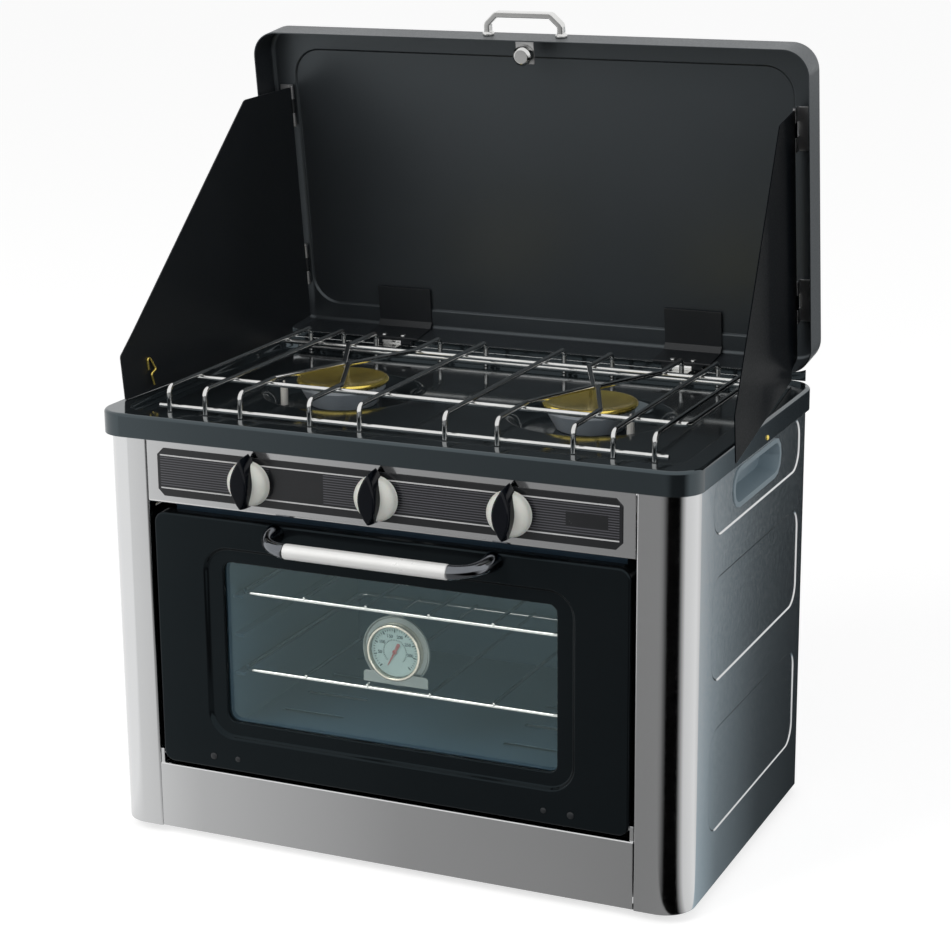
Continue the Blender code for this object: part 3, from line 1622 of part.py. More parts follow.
def shield_blank(inner):
    """A wind shield with its hinge barrels and wire clip; inner is the side of the pans, +1 or -1."""
    base = LID_BOTTOM
    outline = [
        (SHIELD_NECK, base + SHIELD_BOTTOM),
        (SHIELD_REACH, base + SHIELD_NOSE_BOTTOM),
        (SHIELD_REACH, base + SHIELD_NOSE_TOP),
        (SHIELD_SLOPE_REACH, base + SHIELD_SLOPE_BOTTOM),
        (SHIELD_SHOULDER, base + SHIELD_SHOULDER_TOP),
        (SHIELD_NECK, base + SHIELD_TOP_NEAR),
    ]
    sheet = plate(outline, SHIELD_SHEET)
    # the outline's X runs forwards along -Y, its Y is Z, its Z is X
    sheet.transform(Matrix(((0, 0, -1, 0), (-1, 0, 0, 0), (0, 1, 0, 0), (0, 0, 0, 1))))
    sheet = welded(sheet)
    shapes = [sheet]
    bores = []
    half = SHIELD_LEAF_LONG / 6
    for level in SHIELD_LEAF_LEVELS:
        z = base + level
        shapes.append(cylinder(SHIELD_BARREL, (0, 0, z - half), (0, 0, z + half), TINY_STEPS))
        shapes.append(
            box(
                (-SHIELD_SHEET / 2, -SHIELD_NECK - SHIELD_BARREL, z - half),
                (SHIELD_SHEET / 2, -SHIELD_BARREL / 2, z + half),
            )
        )
        reach = half + OVERRUN
        bores.append(cylinder(SHIELD_PIN + GAP, (0, 0, z - reach), (0, 0, z + reach), TINY_STEPS))
    shapes.append(shield_clip(inner))
    return cut(joined(shapes), bores)


def shield_clip(inner):
    """The wire clip near the front corner, held on the shield by its upper end."""
    x = inner * (SHIELD_SHEET / 2 + CLIP_RADIUS - BITE / 2)
    away = x + inner * CLIP_RADIUS * 2
    low = LID_BOTTOM + CLIP_BOTTOM
    high = LID_BOTTOM + CLIP_TOP
    middle = (low + high) / 2
    path = [
        (x, -CLIP_REACH, high - CLIP_WIDTH),
        (x, -CLIP_REACH, high),
        (x, -CLIP_REACH + CLIP_WIDTH / 2, high),
        (away, -CLIP_REACH + CLIP_WIDTH, middle),
        (away, -CLIP_REACH, middle),
        (away, -CLIP_REACH + CLIP_WIDTH / 2, low),
    ]
    return wire(rounded_path(path, CLIP_RADIUS * 1.5, 2), CLIP_RADIUS)


def shield_leaf(level, setback, outer):
    """A lid leaf of a shield hinge with its two barrels and pin; its frame is the shield's."""
    z = LID_BOTTOM + level
    half = SHIELD_LEAF_LONG / 2
    knuckle = SHIELD_LEAF_LONG / 6
    shapes = [cylinder(SHIELD_PIN, (0, 0, z - half), (0, 0, z + half), TINY_STEPS)]
    x0, x1 = sorted((0, outer * SHIELD_LEAF_WIDE))
    face = SHIELD_BARREL + setback
    shapes.append(box((x0, face - LEAF_SHEET, z - half), (x1, face, z + half)))
    for side in (-1, 1):
        z0, z1 = sorted((z + side * (knuckle + GAP), z + side * half))
        shapes.append(cylinder(SHIELD_BARREL, (0, 0, z0), (0, 0, z1), TINY_STEPS))
        web0, web1 = sorted((0, outer * LEAF_SHEET))
        shapes.append(box((web0, 0, z0), (web1, face - LEAF_SHEET / 2, z1)))
    whole = joined(shapes)
    return whole


# Assembly


def build_cabinet(root):
    """The fixed pieces of the cabinet."""
    side = side_panel()
    piece("side_panel_right", side, STEEL, root)
    piece("side_panel_left", mirrored(side), STEEL, root)
    handle = carry_handle()
    piece("carry_handle_right", handle, GREY_PLASTIC, root)
    piece("carry_handle_left", mirrored(handle), GREY_PLASTIC, root)
    piece("back_panel", back_panel(), DARK_STEEL, root)
    piece("base_pan", base_pan(), DARK_STEEL, root)
    shape = foot()
    for name, x, y in (
        ("foot_front_left", -FOOT_X, FOOT_FRONT),
        ("foot_front_right", FOOT_X, FOOT_FRONT),
        ("foot_rear_left", -FOOT_X, FOOT_REAR),
        ("foot_rear_right", FOOT_X, FOOT_REAR),
    ):
        piece(name, shape, RUBBER, root, (x, y, 0))
    piece("plinth_panel", plinth_panel(), STEEL, root)
    piece("control_panel", control_panel(), STEEL, root)
    piece("control_label", control_label(), LABEL, root)
    piece("gas_manifold", gas_manifold(), BRASS, root)


def build_oven(root):
    """The oven inside the cabinet."""
    piece("oven_liner", oven_liner(), OVEN_ENAMEL, root)
    piece("oven_floor_plate", oven_floor_plate(), OVEN_ENAMEL, root)
    piece("oven_burner", oven_burner(), ALUMINIUM, root)
    rack = oven_rack()
    for name, level in zip(("oven_rack_lower", "oven_rack_upper"), RACK_HEIGHTS):
        piece(name, rack, CHROME, root, (0, 0, level))
    place = (DIAL_X, DIAL_Y, DIAL_Z)
    piece("thermometer_case", thermometer_case(), STEEL, root, place)
    piece("thermometer_dial", thermometer_dial(), DIAL_PAINT, root, place)
    pivot = empty("thermometer_pivot", root, place, (0, NEEDLE_REST, 0))
    piece("thermometer_needle", thermometer_needle(), RED_PAINT, pivot)


def build_hob(root):
    """The hob, its burners and the pan support."""
    piece("hob_top", hob_top(), ENAMEL, root)
    body = burner_body()
    cap = burner_cap()
    stem = electrode()
    for name, side in (("left", -1), ("right", 1)):
        place = (side * BURNER_X, BURNER_Y, 0)
        piece("burner_" + name, body, ALUMINIUM, root, place)
        piece("burner_cap_" + name, cap, BRASS, root, place)
        spot = (side * (BURNER_X + ELECTRODE_X), BURNER_Y + ELECTRODE_Y, 0)
        piece("electrode_" + name, stem, CERAMIC, root, spot)
    support = empty("pan_support_slide", root, (0, 0, 0))
    piece("pan_support", pan_support(), CHROME, support)


def build_knobs(root):
    """The three taps' spindles and knobs."""
    spindle = valve_spindle()
    skirt = knob_skirt()
    grip = knob_grip()
    for name, x in zip(("left", "middle", "right"), KNOB_XS):
        slide = empty("tap_" + name, root, (x, 0, KNOB_Z))
        piece("valve_spindle_" + name, spindle, DARK_STEEL, slide)
        piece("knob_skirt_" + name, skirt, IVORY, slide)
        piece("knob_grip_" + name, grip, BLACK_PLASTIC, slide)


def build_door(root):
    """The drop-down door on its hinge axis."""
    pivot = empty("door_pivot", root, (0, HINGE_Y, HINGE_Z))
    piece("door_frame", door_frame(), ENAMEL, pivot)
    piece("door_inner_panel", door_inner_panel(), OVEN_ENAMEL, pivot)
    piece("door_glass", door_glass(), GLASS, pivot)
    piece("door_gasket", door_gasket(), SILICONE, pivot)
    piece("door_handle_bar", handle_bar(), STEEL, pivot)
    bracket = handle_bracket()
    piece("door_handle_bracket_right", bracket, DARK_CHROME, pivot)
    piece("door_handle_bracket_left", mirrored(bracket), DARK_CHROME, pivot)


def build_lid(root):
    """The lid with its hinges, handle, latch and wind shields."""
    place = (0, LID_HINGE_Y, LID_HINGE_Z)
    leaf = lid_hinge_leaf()
    seat = empty("lid_hinge_seat", root, place)
    piece("lid_hinge_leaf_right", leaf, CHROME, seat)
    piece("lid_hinge_leaf_left", mirrored(leaf), CHROME, seat)
    pivot = empty("lid_pivot", root, place, (LID_TILT, 0, 0))
    piece("lid_shell", lid_shell(), SATIN_BLACK, pivot)
    bracket = lid_hinge_bracket()
    piece("lid_hinge_bracket_right", bracket, SATIN_BLACK, pivot)
    piece("lid_hinge_bracket_left", mirrored(bracket), SATIN_BLACK, pivot)
    piece("lid_handle", lid_handle(), CHROME, pivot)
    piece("lid_latch_plate", latch_plate(), DARK_STEEL, pivot)
    drop = LID_BOTTOM + LID_HEIGHT - LID_SHEET - GAP - LATCH_DROP
    catch = empty("lid_latch_pivot", pivot, (LATCH_X, LID_FRONT + LATCH_LENGTH - GAP, drop))
    piece("lid_latch", lid_latch(), CHROME, catch)
    inside = LID_FRONT + LID_DEPTH - EMBOSS_DEPTH - LID_SHEET - GAP - SHIELD_BARREL
    for name, outer, setback, flare in (
        ("left", -1, SHIELD_SETBACK_LEFT, SHIELD_FLARE_LEFT),
        ("right", 1, SHIELD_SETBACK_RIGHT, SHIELD_FLARE_RIGHT),
    ):
        spot = (outer * SHIELD_X, inside - setback, 0)
        hinge = empty("shield_seat_" + name, pivot, spot)
        for end, level in zip(("lower", "upper"), SHIELD_LEAF_LEVELS):
            piece(
                "shield_leaf_" + end + "_" + name, shield_leaf(level, setback, outer), DARK_STEEL, hinge
            )
        swing = empty("shield_pivot_" + name, pivot, spot, (0, 0, outer * flare))
        piece("wind_shield_" + name, shield_blank(-outer), SATIN_BLACK, swing)


def stand_on_origin(root):
    """Move the whole cooker so that it stands centred on the world's origin."""
    bpy.context.view_layer.update()
    graph = bpy.context.evaluated_depsgraph_get()
    low = Vector((math.inf, math.inf, math.inf))
    high = -low
    for made in PARTS.objects:
        if made.type != "MESH":
            continue
        for vertex in made.evaluated_get(graph).data.vertices:
            place = made.matrix_world @ vertex.co
            low = Vector(map(min, low, place))
            high = Vector(map(max, high, place))
    root.location = (-(low.x + high.x) / 2, -(low.y + high.y) / 2, -low.z)
    bpy.context.view_layer.update()
    print("root", [round(value, 6) for value in root.location])
    print("size", [round(value, 6) for value in high - low])


def main():
    """Build the cooker."""
    root = empty("cooker", None, (0, 0, 0))
    build_cabinet(root)
    build_oven(root)
    build_hob(root)
    build_knobs(root)
    build_door(root)
    build_lid(root)
    stand_on_origin(root)


main()
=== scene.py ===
"""The look of the two-burner gas cooker: finishes, finer pieces, floor, lamps and camera."""

import json
import math

import bmesh
import bpy
from mathutils import Matrix, Vector


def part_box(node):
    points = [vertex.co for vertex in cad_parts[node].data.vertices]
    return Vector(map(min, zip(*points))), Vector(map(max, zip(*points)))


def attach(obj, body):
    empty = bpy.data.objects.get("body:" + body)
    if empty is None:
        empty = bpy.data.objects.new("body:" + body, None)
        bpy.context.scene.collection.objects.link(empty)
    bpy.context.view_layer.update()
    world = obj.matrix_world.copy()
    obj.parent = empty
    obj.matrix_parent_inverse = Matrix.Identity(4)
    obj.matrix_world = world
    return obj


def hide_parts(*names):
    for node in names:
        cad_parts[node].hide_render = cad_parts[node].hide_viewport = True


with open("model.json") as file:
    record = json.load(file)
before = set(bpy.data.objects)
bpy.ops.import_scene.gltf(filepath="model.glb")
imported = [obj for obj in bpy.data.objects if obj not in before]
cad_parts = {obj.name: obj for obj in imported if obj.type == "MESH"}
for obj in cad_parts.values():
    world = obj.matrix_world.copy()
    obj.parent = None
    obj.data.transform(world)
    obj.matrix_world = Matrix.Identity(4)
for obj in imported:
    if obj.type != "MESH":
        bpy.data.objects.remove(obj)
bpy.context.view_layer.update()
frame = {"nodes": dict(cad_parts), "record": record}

NODES = frame["nodes"]
BODY_OF = {
    node: body for body, nodes in frame["record"]["behaviour"]["bodies"].items() for node in nodes
}

# Sizes in metres: X from the middle, Y from the front face, Z from the cabinet's bottom edge
SHEET = 0.001
GAP = 0.0003
FINE_EDGE = 0.0002
CABINET_HALF = 0.273
CABINET_DEPTH = 0.322
CABINET_CORNER = 0.027
POST_INNER = 0.227
POST_FLANGE = 0.0115
FOLD_RADIUS = 0.002
REAR_FOLD = 0.0075
REAR_FLANGE = 0.018
PRESS_FRONT = 0.058
PRESS_REAR = 0.300
PRESS_DEPTH = 0.0008
PRESS_SLOPE = 0.0018
PRESS_CORNER = 0.020
PRESS_LEVELS = ((0.049, 0.143), (0.185, 0.2775), (0.3125, 0.3625))
# front, rear, bottom, top and corner radius of the hole for the carry handle
HANDLE_HOLE = (0.112, 0.240, 0.3255, 0.3555, 0.0147)
RIM_HALF = 0.277
RIM_FRONT = -0.005
RIM_REAR = 0.337
RIM_TOP = 0.385
RIM_SKIRT = 0.021
RIM_CORNER = 0.026
RIM_EDGE = 0.003
RIM_FLAT = 0.018
RIM_SLOPE = 0.004
FIELD_DROP = 0.007
FIELD_CORNER = 0.014
BURNER_X = 0.121
BURNER_Y = 0.171
BOWL_RADIUS = 0.076
BOWL_SLOPE = 0.016
BOWL_DEPTH = 0.012
BOWL_HOLE = 0.022
# half of the outline of the strip under the lid: X and the height above the rim
REAR_EDGE = ((0.266, -0.0005), (0.266, 0.0101), (0.262, 0.0086), (0.249, 0.0056))
RIM_PIN_Y = 0.187
RIM_PIN_Z = 0.3687
CAP_RADIUS = 0.042
CAP_TOP = 0.391
PORT_COUNT = 48
PORT_RADIUS = 0.0399
PORT_DROP = 0.0047
KNOB_XS = (-0.123, -0.002, 0.119)
KNOB_Z = 0.3355
LABEL_HALF = 0.216
PRINT_INSET = 0.003
STRIPE_PITCH = 0.0022
STRIPES = (0.3235, 0.3490)
TRIM_LINES = ((0.3207, 0.3219), (0.3501, 0.3513))
BLOCK_ACROSS = (-0.106, -0.054)
FIELD_ACROSS = (0.1665, 0.2035)
FIELD_HEIGHT = (0.3294, 0.3418)
DOOR_BOTTOM = 0.065
DOOR_DEPTH = 0.014
DOOR_EDGE = 0.002
STEP_DEPTH = 0.004
# half width, bottom, top and corner radius of what is pressed in the door
DOOR_SHAPE = (0.2225, DOOR_BOTTOM, 0.2985, 0.010)
STEP_SHAPE = (0.175, 0.0945, 0.2735, 0.025)
WINDOW_SHAPE = (0.157, 0.1105, 0.2585, 0.008)
# across, height, radius and rise of the screws on either side
DOOR_SCREWS = ((0.171, 0.0765, 0.0032, 0.0012), (0.1465, 0.077, 0.0026, 0.0010))
BAR_Y = -0.032
BAR_Z = 0.288
BAR_RADIUS = 0.00675
BAR_HALF = 0.076
BRACKET_X = 0.102
BRACKET_Z = 0.2915
BRACKET_FOOT = 0.0088
DIAL_X = -0.005
DIAL_Y = 0.038
DIAL_Z = 0.187
DIAL_FACE = 0.00465
DIAL_START = 225
DIAL_SWEEP = 270
NEEDLE_REST = -208
BEZEL_RADIUS = 0.0260
CASE_RADIUS = 0.0320
STAND_HALF = 0.031
STAND_HEIGHT = 0.0105
STAND_ARC = 0.0245
WIRE = 0.0023
BAR_TOP_Z = 0.401
SUPPORT_FRONT = 0.042
SUPPORT_REAR = 0.311
SUPPORT_BEND = 0.006
SUPPORT_HALF = 0.236
LOWER_WIRE_Z = 0.3826
CROSS_FRONT = 0.099
CROSS_REAR = 0.264
STRAIGHT_XS = (0.040, 0.191, 0.227)
VEE_XS = (0.088, 0.156)
VEE_FRONT = 0.104
VEE_MIDDLE = 0.180
VEE_REAR = 0.252
RACK_LEVELS = (0.152, 0.224)
RACK_HALF = 0.1535
RACK_FRONT = 0.030
RACK_REAR = 0.262
RACK_RADIUS = 0.002
RACK_CROSS_RADIUS = 0.0016
RACK_DROP = 0.0026
RACK_CROSS_XS = (-0.090, -0.030, 0.030, 0.090)
LID_TILT = math.radians(7.2)
LID_HINGE_Y = 0.3335
LID_HINGE_Z = 0.3885
LID_BOTTOM = 0.0037
LID_HEIGHT = 0.297
LID_FRONT = -0.0015
LID_DEPTH = 0.0375
LID_EDGE = 0.005
EMBOSS_DEPTH = 0.002
# half width, bottom, top and corner radius, in the lid's own frame
LID_SHAPE = (0.273, LID_BOTTOM, LID_BOTTOM + LID_HEIGHT, 0.024)
EMBOSS_SHAPE = (0.250, 0.022, 0.279, 0.028)
HINGE_SCREW_XS = (-0.159, -0.139, 0.139, 0.159)
SHIELD_X = 0.252
SHIELD_NECK = 0.0026
SHIELD_REACH = 0.322
SHIELD_BARREL = 0.002
KNUCKLE_HALF = 0.0067
KNUCKLE_LEVELS = (0.059, 0.219)
BAIL_HALF = 0.036
BAIL_TOP_HALF = 0.0266
BAIL_HEIGHT = 0.022
BAIL_STEM = 0.0105

# The cabinet's own frame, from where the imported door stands
door_low, door_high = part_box("door_frame")
ORIGIN = Vector(((door_low[0] + door_high[0]) / 2, door_low[1], door_low[2] - DOOR_BOTTOM))
TO_CABINET = Matrix.Translation(ORIGIN)
TO_LID = TO_CABINET @ Matrix.Translation((0, LID_HINGE_Y, LID_HINGE_Z)) @ Matrix.Rotation(LID_TILT, 4, "X")


# Finishes


def link(tree, source, target):
    """Joins two sockets."""
    tree.links.new(source, target)


def texture(tree, kind, scale, stretch=(1, 1, 1), **values):
    """A texture in the piece's own coordinates; stretch gives its scale along each axis."""
    place = tree.nodes.new("ShaderNodeTexCoord")
    mapping = tree.nodes.new("ShaderNodeMapping")
    mapping.inputs["Scale"].default_value = [scale * share for share in stretch]
    link(tree, place.outputs["Object"], mapping.inputs["Vector"])
    made = tree.nodes.new(kind)
    made.inputs["Scale"].default_value = 1
    for name, value in values.items():
        made.inputs[name].default_value = value
    link(tree, mapping.outputs["Vector"], made.inputs["Vector"])
    return made


def remap(tree, source, low, high, to_low, to_high):
    """A value brought from one range to another."""
    made = tree.nodes.new("ShaderNodeMapRange")
    for name, value in (("From Min", low), ("From Max", high), ("To Min", to_low), ("To Max", to_high)):
        made.inputs[name].default_value = value
    link(tree, source, made.inputs["Value"])
    return made.outputs["Result"]


def mixed(tree, factor, first, second):
    """A colour between two, each a socket or a colour."""
    made = tree.nodes.new("ShaderNodeMix")
    made.data_type = "RGBA"
    link(tree, factor, made.inputs["Factor"])
    for name, value in (("A", first), ("B", second)):
        socket = [s for s in made.inputs if s.name == name and s.type == "RGBA"][0]
        if isinstance(value, tuple):
            socket.default_value = (*value, 1)
        else:
            link(tree, value, socket)
    return [s for s in made.outputs if s.type == "RGBA"][0]


def maths(tree, operation, first, second):
    """A sum on two values, each a socket or a number."""
    made = tree.nodes.new("ShaderNodeMath")
    made.operation = operation
    for socket, value in zip(made.inputs, (first, second)):
        if isinstance(value, (int, float)):
            socket.default_value = value
        else:
            link(tree, value, socket)
    return made.outputs[0]


def edge_mask(tree, rounded, strength=6):
    """How near a point is to a sharp edge, from its rounded normal."""
    geometry = tree.nodes.new("ShaderNodeNewGeometry")
    dot = tree.nodes.new("ShaderNodeVectorMath")
    dot.operation = "DOT_PRODUCT"
    link(tree, rounded.outputs["Normal"], dot.inputs[0])
    link(tree, geometry.outputs["Normal"], dot.inputs[1])
    return remap(tree, dot.outputs["Value"], 1, 1 - 1 / strength, 0, 1)


LOOKS = {}


def look(
    name, colour, tint, roughness, spread=0.05, metallic=0.0, grain=90, stretch=(1, 1, 1), relief=0.00002,
    worn=None, edge=0.0006, blotch=7, **sockets
):
    """A finish in LOOKS: two tones in soft blotches, a grain in its roughness and relief, worn edges."""
    made = bpy.data.materials.new(name)
    made.use_nodes = True
    tree = made.node_tree
    shader = tree.nodes["Principled BSDF"]
    shader.inputs["Metallic"].default_value = metallic
    for socket, value in sockets.items():
        shader.inputs[socket.replace("_", " ")].default_value = value
    fine = texture(tree, "ShaderNodeTexNoise", grain, stretch, Detail=5, Roughness=0.62)
    broad = texture(tree, "ShaderNodeTexNoise", blotch, Detail=3, Roughness=0.5)
    tone = remap(tree, broad.outputs["Fac"], 0.35, 0.68, 0, 1)
    base = mixed(tree, tone, colour, tint)
    rounded = tree.nodes.new("ShaderNodeBevel")
    rounded.samples = 4
    rounded.inputs["Radius"].default_value = edge
    if worn:
        mask = edge_mask(tree, rounded)
        rubbed = maths(tree, "MULTIPLY", mask, remap(tree, fine.outputs["Fac"], 0.35, 0.6, 0.15, 0.75))
        base = mixed(tree, rubbed, base, worn)
    link(tree, base, shader.inputs["Base Color"])
    rough = remap(tree, fine.outputs["Fac"], 0.3, 0.7, roughness - spread, roughness + spread)
    smear = remap(tree, broad.outputs["Fac"], 0.3, 0.7, -spread / 2, spread / 2)
    link(tree, maths(tree, "ADD", rough, smear), shader.inputs["Roughness"])
    relief_node = tree.nodes.new("ShaderNodeBump")
    relief_node.inputs["Distance"].default_value = relief
    relief_node.inputs["Strength"].default_value = 1
    link(tree, fine.outputs["Fac"], relief_node.inputs["Height"])
    link(tree, rounded.outputs["Normal"], relief_node.inputs["Normal"])
    link(tree, relief_node.outputs["Normal"], shader.inputs["Normal"])
    LOOKS[name] = made
    return made


def label_look():
    """The label's print: fine pale lines on black between two bright lines, with plain dark blocks."""
    made = look("label_print", (0.012, 0.013, 0.015), (0.018, 0.019, 0.021), 0.22, relief=0.00001)
    tree = made.node_tree
    shader = tree.nodes["Principled BSDF"]
    ground = shader.inputs["Base Color"].links[0].from_socket
    place = tree.nodes.new("ShaderNodeTexCoord")
    parts = tree.nodes.new("ShaderNodeSeparateXYZ")
    link(tree, place.outputs["Object"], parts.inputs["Vector"])
    across = maths(tree, "SUBTRACT", parts.outputs["X"], ORIGIN.x)
    height = maths(tree, "SUBTRACT", parts.outputs["Z"], ORIGIN.z)

    def between(value, low, high, soft=0.0001):
        """One inside a range and nought outside it."""
        over = remap(tree, value, low - soft, low + soft, 0, 1)
        under = remap(tree, value, high - soft, high + soft, 1, 0)
        return maths(tree, "MULTIPLY", over, under)

    phase = maths(tree, "FRACT", maths(tree, "DIVIDE", height, STRIPE_PITCH), 0)
    stripe = between(phase, 0.25, 0.62, 0.12)
    inset = between(across, PRINT_INSET - LABEL_HALF, LABEL_HALF - PRINT_INSET)
    block = between(across, *BLOCK_ACROSS)
    field = maths(tree, "MULTIPLY", between(across, *FIELD_ACROSS), between(height, *FIELD_HEIGHT))
    open_ground = maths(tree, "SUBTRACT", 1, maths(tree, "MAXIMUM", block, field))
    lines = maths(tree, "MULTIPLY", maths(tree, "MULTIPLY", stripe, between(height, *STRIPES)), inset)
    lines = maths(tree, "MULTIPLY", lines, open_ground)
    striped = mixed(tree, lines, ground, (0.10, 0.10, 0.115))
    trims = maths(tree, "ADD", *[between(height, *line) for line in TRIM_LINES])
    trims = maths(tree, "MULTIPLY", trims, inset)
    link(tree, mixed(tree, trims, striped, (0.62, 0.62, 0.63)), shader.inputs["Base Color"])


def glass_look(name, tint, roughness):
    """Clear glass that lets lamp light through."""
    made = look(
        name, tint, tint, roughness, spread=0.01, relief=0.000003, grain=12, Transmission_Weight=1.0, IOR=1.5,
        Specular_Tint=(0.7, 0.97, 1, 1),
    )
    tree = made.node_tree
    output = tree.nodes["Material Output"]
    shader = tree.nodes["Principled BSDF"]
    path = tree.nodes.new("ShaderNodeLightPath")
    clear = tree.nodes.new("ShaderNodeBsdfTransparent")
    clear.inputs["Color"].default_value = (*tint, 1)
    choice = tree.nodes.new("ShaderNodeMixShader")
    either = maths(tree, "MAXIMUM", path.outputs["Is Shadow Ray"], path.outputs["Is Diffuse Ray"])
    link(tree, either, choice.inputs["Fac"])
    link(tree, shader.outputs["BSDF"], choice.inputs[1])
    link(tree, clear.outputs["BSDF"], choice.inputs[2])
    link(tree, choice.outputs["Shader"], output.inputs["Surface"])


look(
    "satin_steel", (0.70, 0.705, 0.71), (0.66, 0.665, 0.67), 0.12, spread=0.03, metallic=1.0, grain=60,
    stretch=(0.05, 4, 4), relief=0.000004, worn=(0.75, 0.74, 0.72), blotch=3,
)
look(
    "grey_plastic", (0.24, 0.31, 0.35), (0.215, 0.28, 0.32), 0.42, grain=900,
    worn=(0.24, 0.28, 0.32),
)
look(
    "plated_steel", (0.55, 0.55, 0.55), (0.42, 0.42, 0.43), 0.36, metallic=1.0, grain=220,
    worn=(0.7, 0.7, 0.7), blotch=25,
)
look(
    "black_rubber", (0.016, 0.016, 0.017), (0.03, 0.029, 0.028), 0.75, grain=700, relief=0.00004,
    worn=(0.07, 0.07, 0.07),
)
label_look()
look(
    "polished_brass", (0.95, 0.76, 0.20), (0.88, 0.66, 0.14), 0.16, metallic=0.85, grain=130,
    relief=0.000005, blotch=30,
)
look(
    "oven_enamel", (0.066, 0.122, 0.182), (0.053, 0.102, 0.155), 0.35, grain=420,
    worn=(0.13, 0.15, 0.16),
)
look(
    "aluminium", (0.66, 0.70, 0.75), (0.56, 0.60, 0.66), 0.40, metallic=0.6, grain=260,
    worn=(0.78, 0.78, 0.77), blotch=30,
)
look(
    "chrome", (0.74, 0.74, 0.73), (0.66, 0.66, 0.65), 0.12, spread=0.03, metallic=1.0, grain=160,
    relief=0.000004, worn=(0.85, 0.85, 0.84), blotch=40,
)
look(
    "dial_paint", (0.64, 0.69, 0.70), (0.58, 0.63, 0.64), 0.40, grain=800, relief=0.000006,
    worn=(0.5, 0.55, 0.5), blotch=60,
)
look(
    "red_paint", (0.55, 0.03, 0.02), (0.45, 0.02, 0.015), 0.35, grain=900, relief=0.000005,
    worn=(0.6, 0.1, 0.08),
)
# the door's black enamel: darker than hob_enamel and reflecting a fifth as much, painted shade that stands in
# for dark surroundings in front of the door
look(
    "black_enamel", (0.006, 0.007, 0.008), (0.0045, 0.0055, 0.0065), 0.10, spread=0.03, grain=340,
    relief=0.000006, worn=(0.03, 0.032, 0.034), Specular_IOR_Level=0.2, Specular_Tint=(0.65, 0.9, 1, 1),
)
look(
    "case_metal", (0.34, 0.37, 0.365), (0.28, 0.31, 0.305), 0.36, metallic=0.6, grain=260, relief=0.00001,
    worn=(0.6, 0.62, 0.6), blotch=30,
)
look(
    "bezel_metal", (0.80, 0.74, 0.64), (0.72, 0.66, 0.57), 0.16, metallic=0.9, grain=160, relief=0.000004,
    worn=(0.9, 0.86, 0.78), blotch=40,
)
look(
    "bar_metal", (0.93, 0.93, 0.92), (0.88, 0.88, 0.87), 0.32, metallic=0.25, grain=160, relief=0.000004,
    worn=(0.85, 0.85, 0.84), blotch=20,
)
look(
    "hob_enamel", (0.014, 0.0175, 0.0195), (0.012, 0.015, 0.017), 0.09, spread=0.03, grain=340,
    relief=0.000006, worn=(0.03, 0.032, 0.034), Specular_IOR_Level=1.0, Specular_Tint=(0.75, 0.92, 1, 1),
)
# the lid's paint: a lighter, more reflective copy of satin_black, painted light that brightens the whole lid
look(
    "lit_lid_paint", (0.0115, 0.0135, 0.0160), (0.0150, 0.0170, 0.0200), 0.40, spread=0.06, grain=520,
    relief=0.000014, worn=(0.035, 0.036, 0.038), Specular_IOR_Level=1.0, Specular_Tint=(0.85, 0.95, 1, 1),
)
# the right wind shield's paint: a darker, barely reflecting copy of satin_black, painted shade that makes it
# darker than the left shield
look(
    "shield_paint", (0.0018, 0.0026, 0.0038), (0.0025, 0.0033, 0.0045), 0.36, spread=0.06, grain=520,
    relief=0.000014, Specular_IOR_Level=0.03,
)
look(
    "white_ceramic", (0.74, 0.72, 0.68), (0.62, 0.60, 0.56), 0.30, grain=500, relief=0.00001,
    worn=(0.5, 0.48, 0.44), blotch=60,
)
look(
    "ivory_plastic", (0.80, 0.81, 0.76), (0.75, 0.76, 0.70), 0.30, grain=700, relief=0.000012,
    worn=(0.78, 0.74, 0.62), Subsurface_Weight=0.1, Subsurface_Scale=0.002, blotch=20,
)
look(
    "black_plastic", (0.0025, 0.0035, 0.006), (0.004, 0.005, 0.008), 0.14, spread=0.04, grain=600,
    relief=0.000008, worn=(0.08, 0.09, 0.10), edge=0.001, Specular_IOR_Level=0.18,
)
glass_look("glass", (0.90, 0.94, 0.93), 0.01)
look(
    "grey_silicone", (0.16, 0.16, 0.165), (0.12, 0.12, 0.125), 0.6, grain=600, relief=0.00003,
    worn=(0.22, 0.22, 0.22),
)
look(
    "dark_chrome", (0.20, 0.21, 0.225), (0.14, 0.15, 0.165), 0.10, spread=0.04, metallic=1.0, grain=200,
    relief=0.000005, worn=(0.5, 0.5, 0.5), blotch=30,
)
look(
    "satin_black", (0.0100, 0.0118, 0.0138), (0.0125, 0.0145, 0.0170), 0.38, spread=0.06, grain=520,
    relief=0.000014, worn=(0.035, 0.036, 0.038),
)



# Mesh helpers


def link_object(name, mesh):
    """A new object in the scene."""
    made = bpy.data.objects.new(name, mesh)
    bpy.context.scene.collection.objects.link(made)
    return made


def dress(piece, slot, width=0.0, sharp=35, paint=None):
    """Smooth shading, rounded edges and the finish of its slot, or a variant of that finish."""
    mesh = piece.data
    for polygon in mesh.polygons:
        polygon.use_smooth = True
    mesh.set_sharp_from_angle(angle=math.radians(sharp))
    mesh.materials.clear()
    mesh.materials.append(LOOKS[paint or slot])
    if width:
        edge = piece.modifiers.new("Edge", "BEVEL")
        edge.width = width
        edge.segments = 2
        edge.limit_method = "ANGLE"
        edge.angle_limit = math.radians(sharp)
        edge.harden_normals = True
        edge.miter_outer = "MITER_ARC"
    shading = piece.modifiers.new("Shading", "WEIGHTED_NORMAL")
    shading.keep_sharp = True
    shading.weight = 90


def written(work, name):
    """A mesh from a bmesh as it is."""
    mesh = bpy.data.meshes.new(name)
    work.to_mesh(mesh)
    work.free()
    return mesh


def mesh_of(work, name="shape"):
    """A mesh from a bmesh, its normals pointing outwards."""
    bmesh.ops.recalc_face_normals(work, faces=work.faces)
    return written(work, name)


def joined(meshes):
    """One mesh from several."""
    work = bmesh.new()
    for mesh in meshes:
        work.from_mesh(mesh)
    return written(work, "joined")


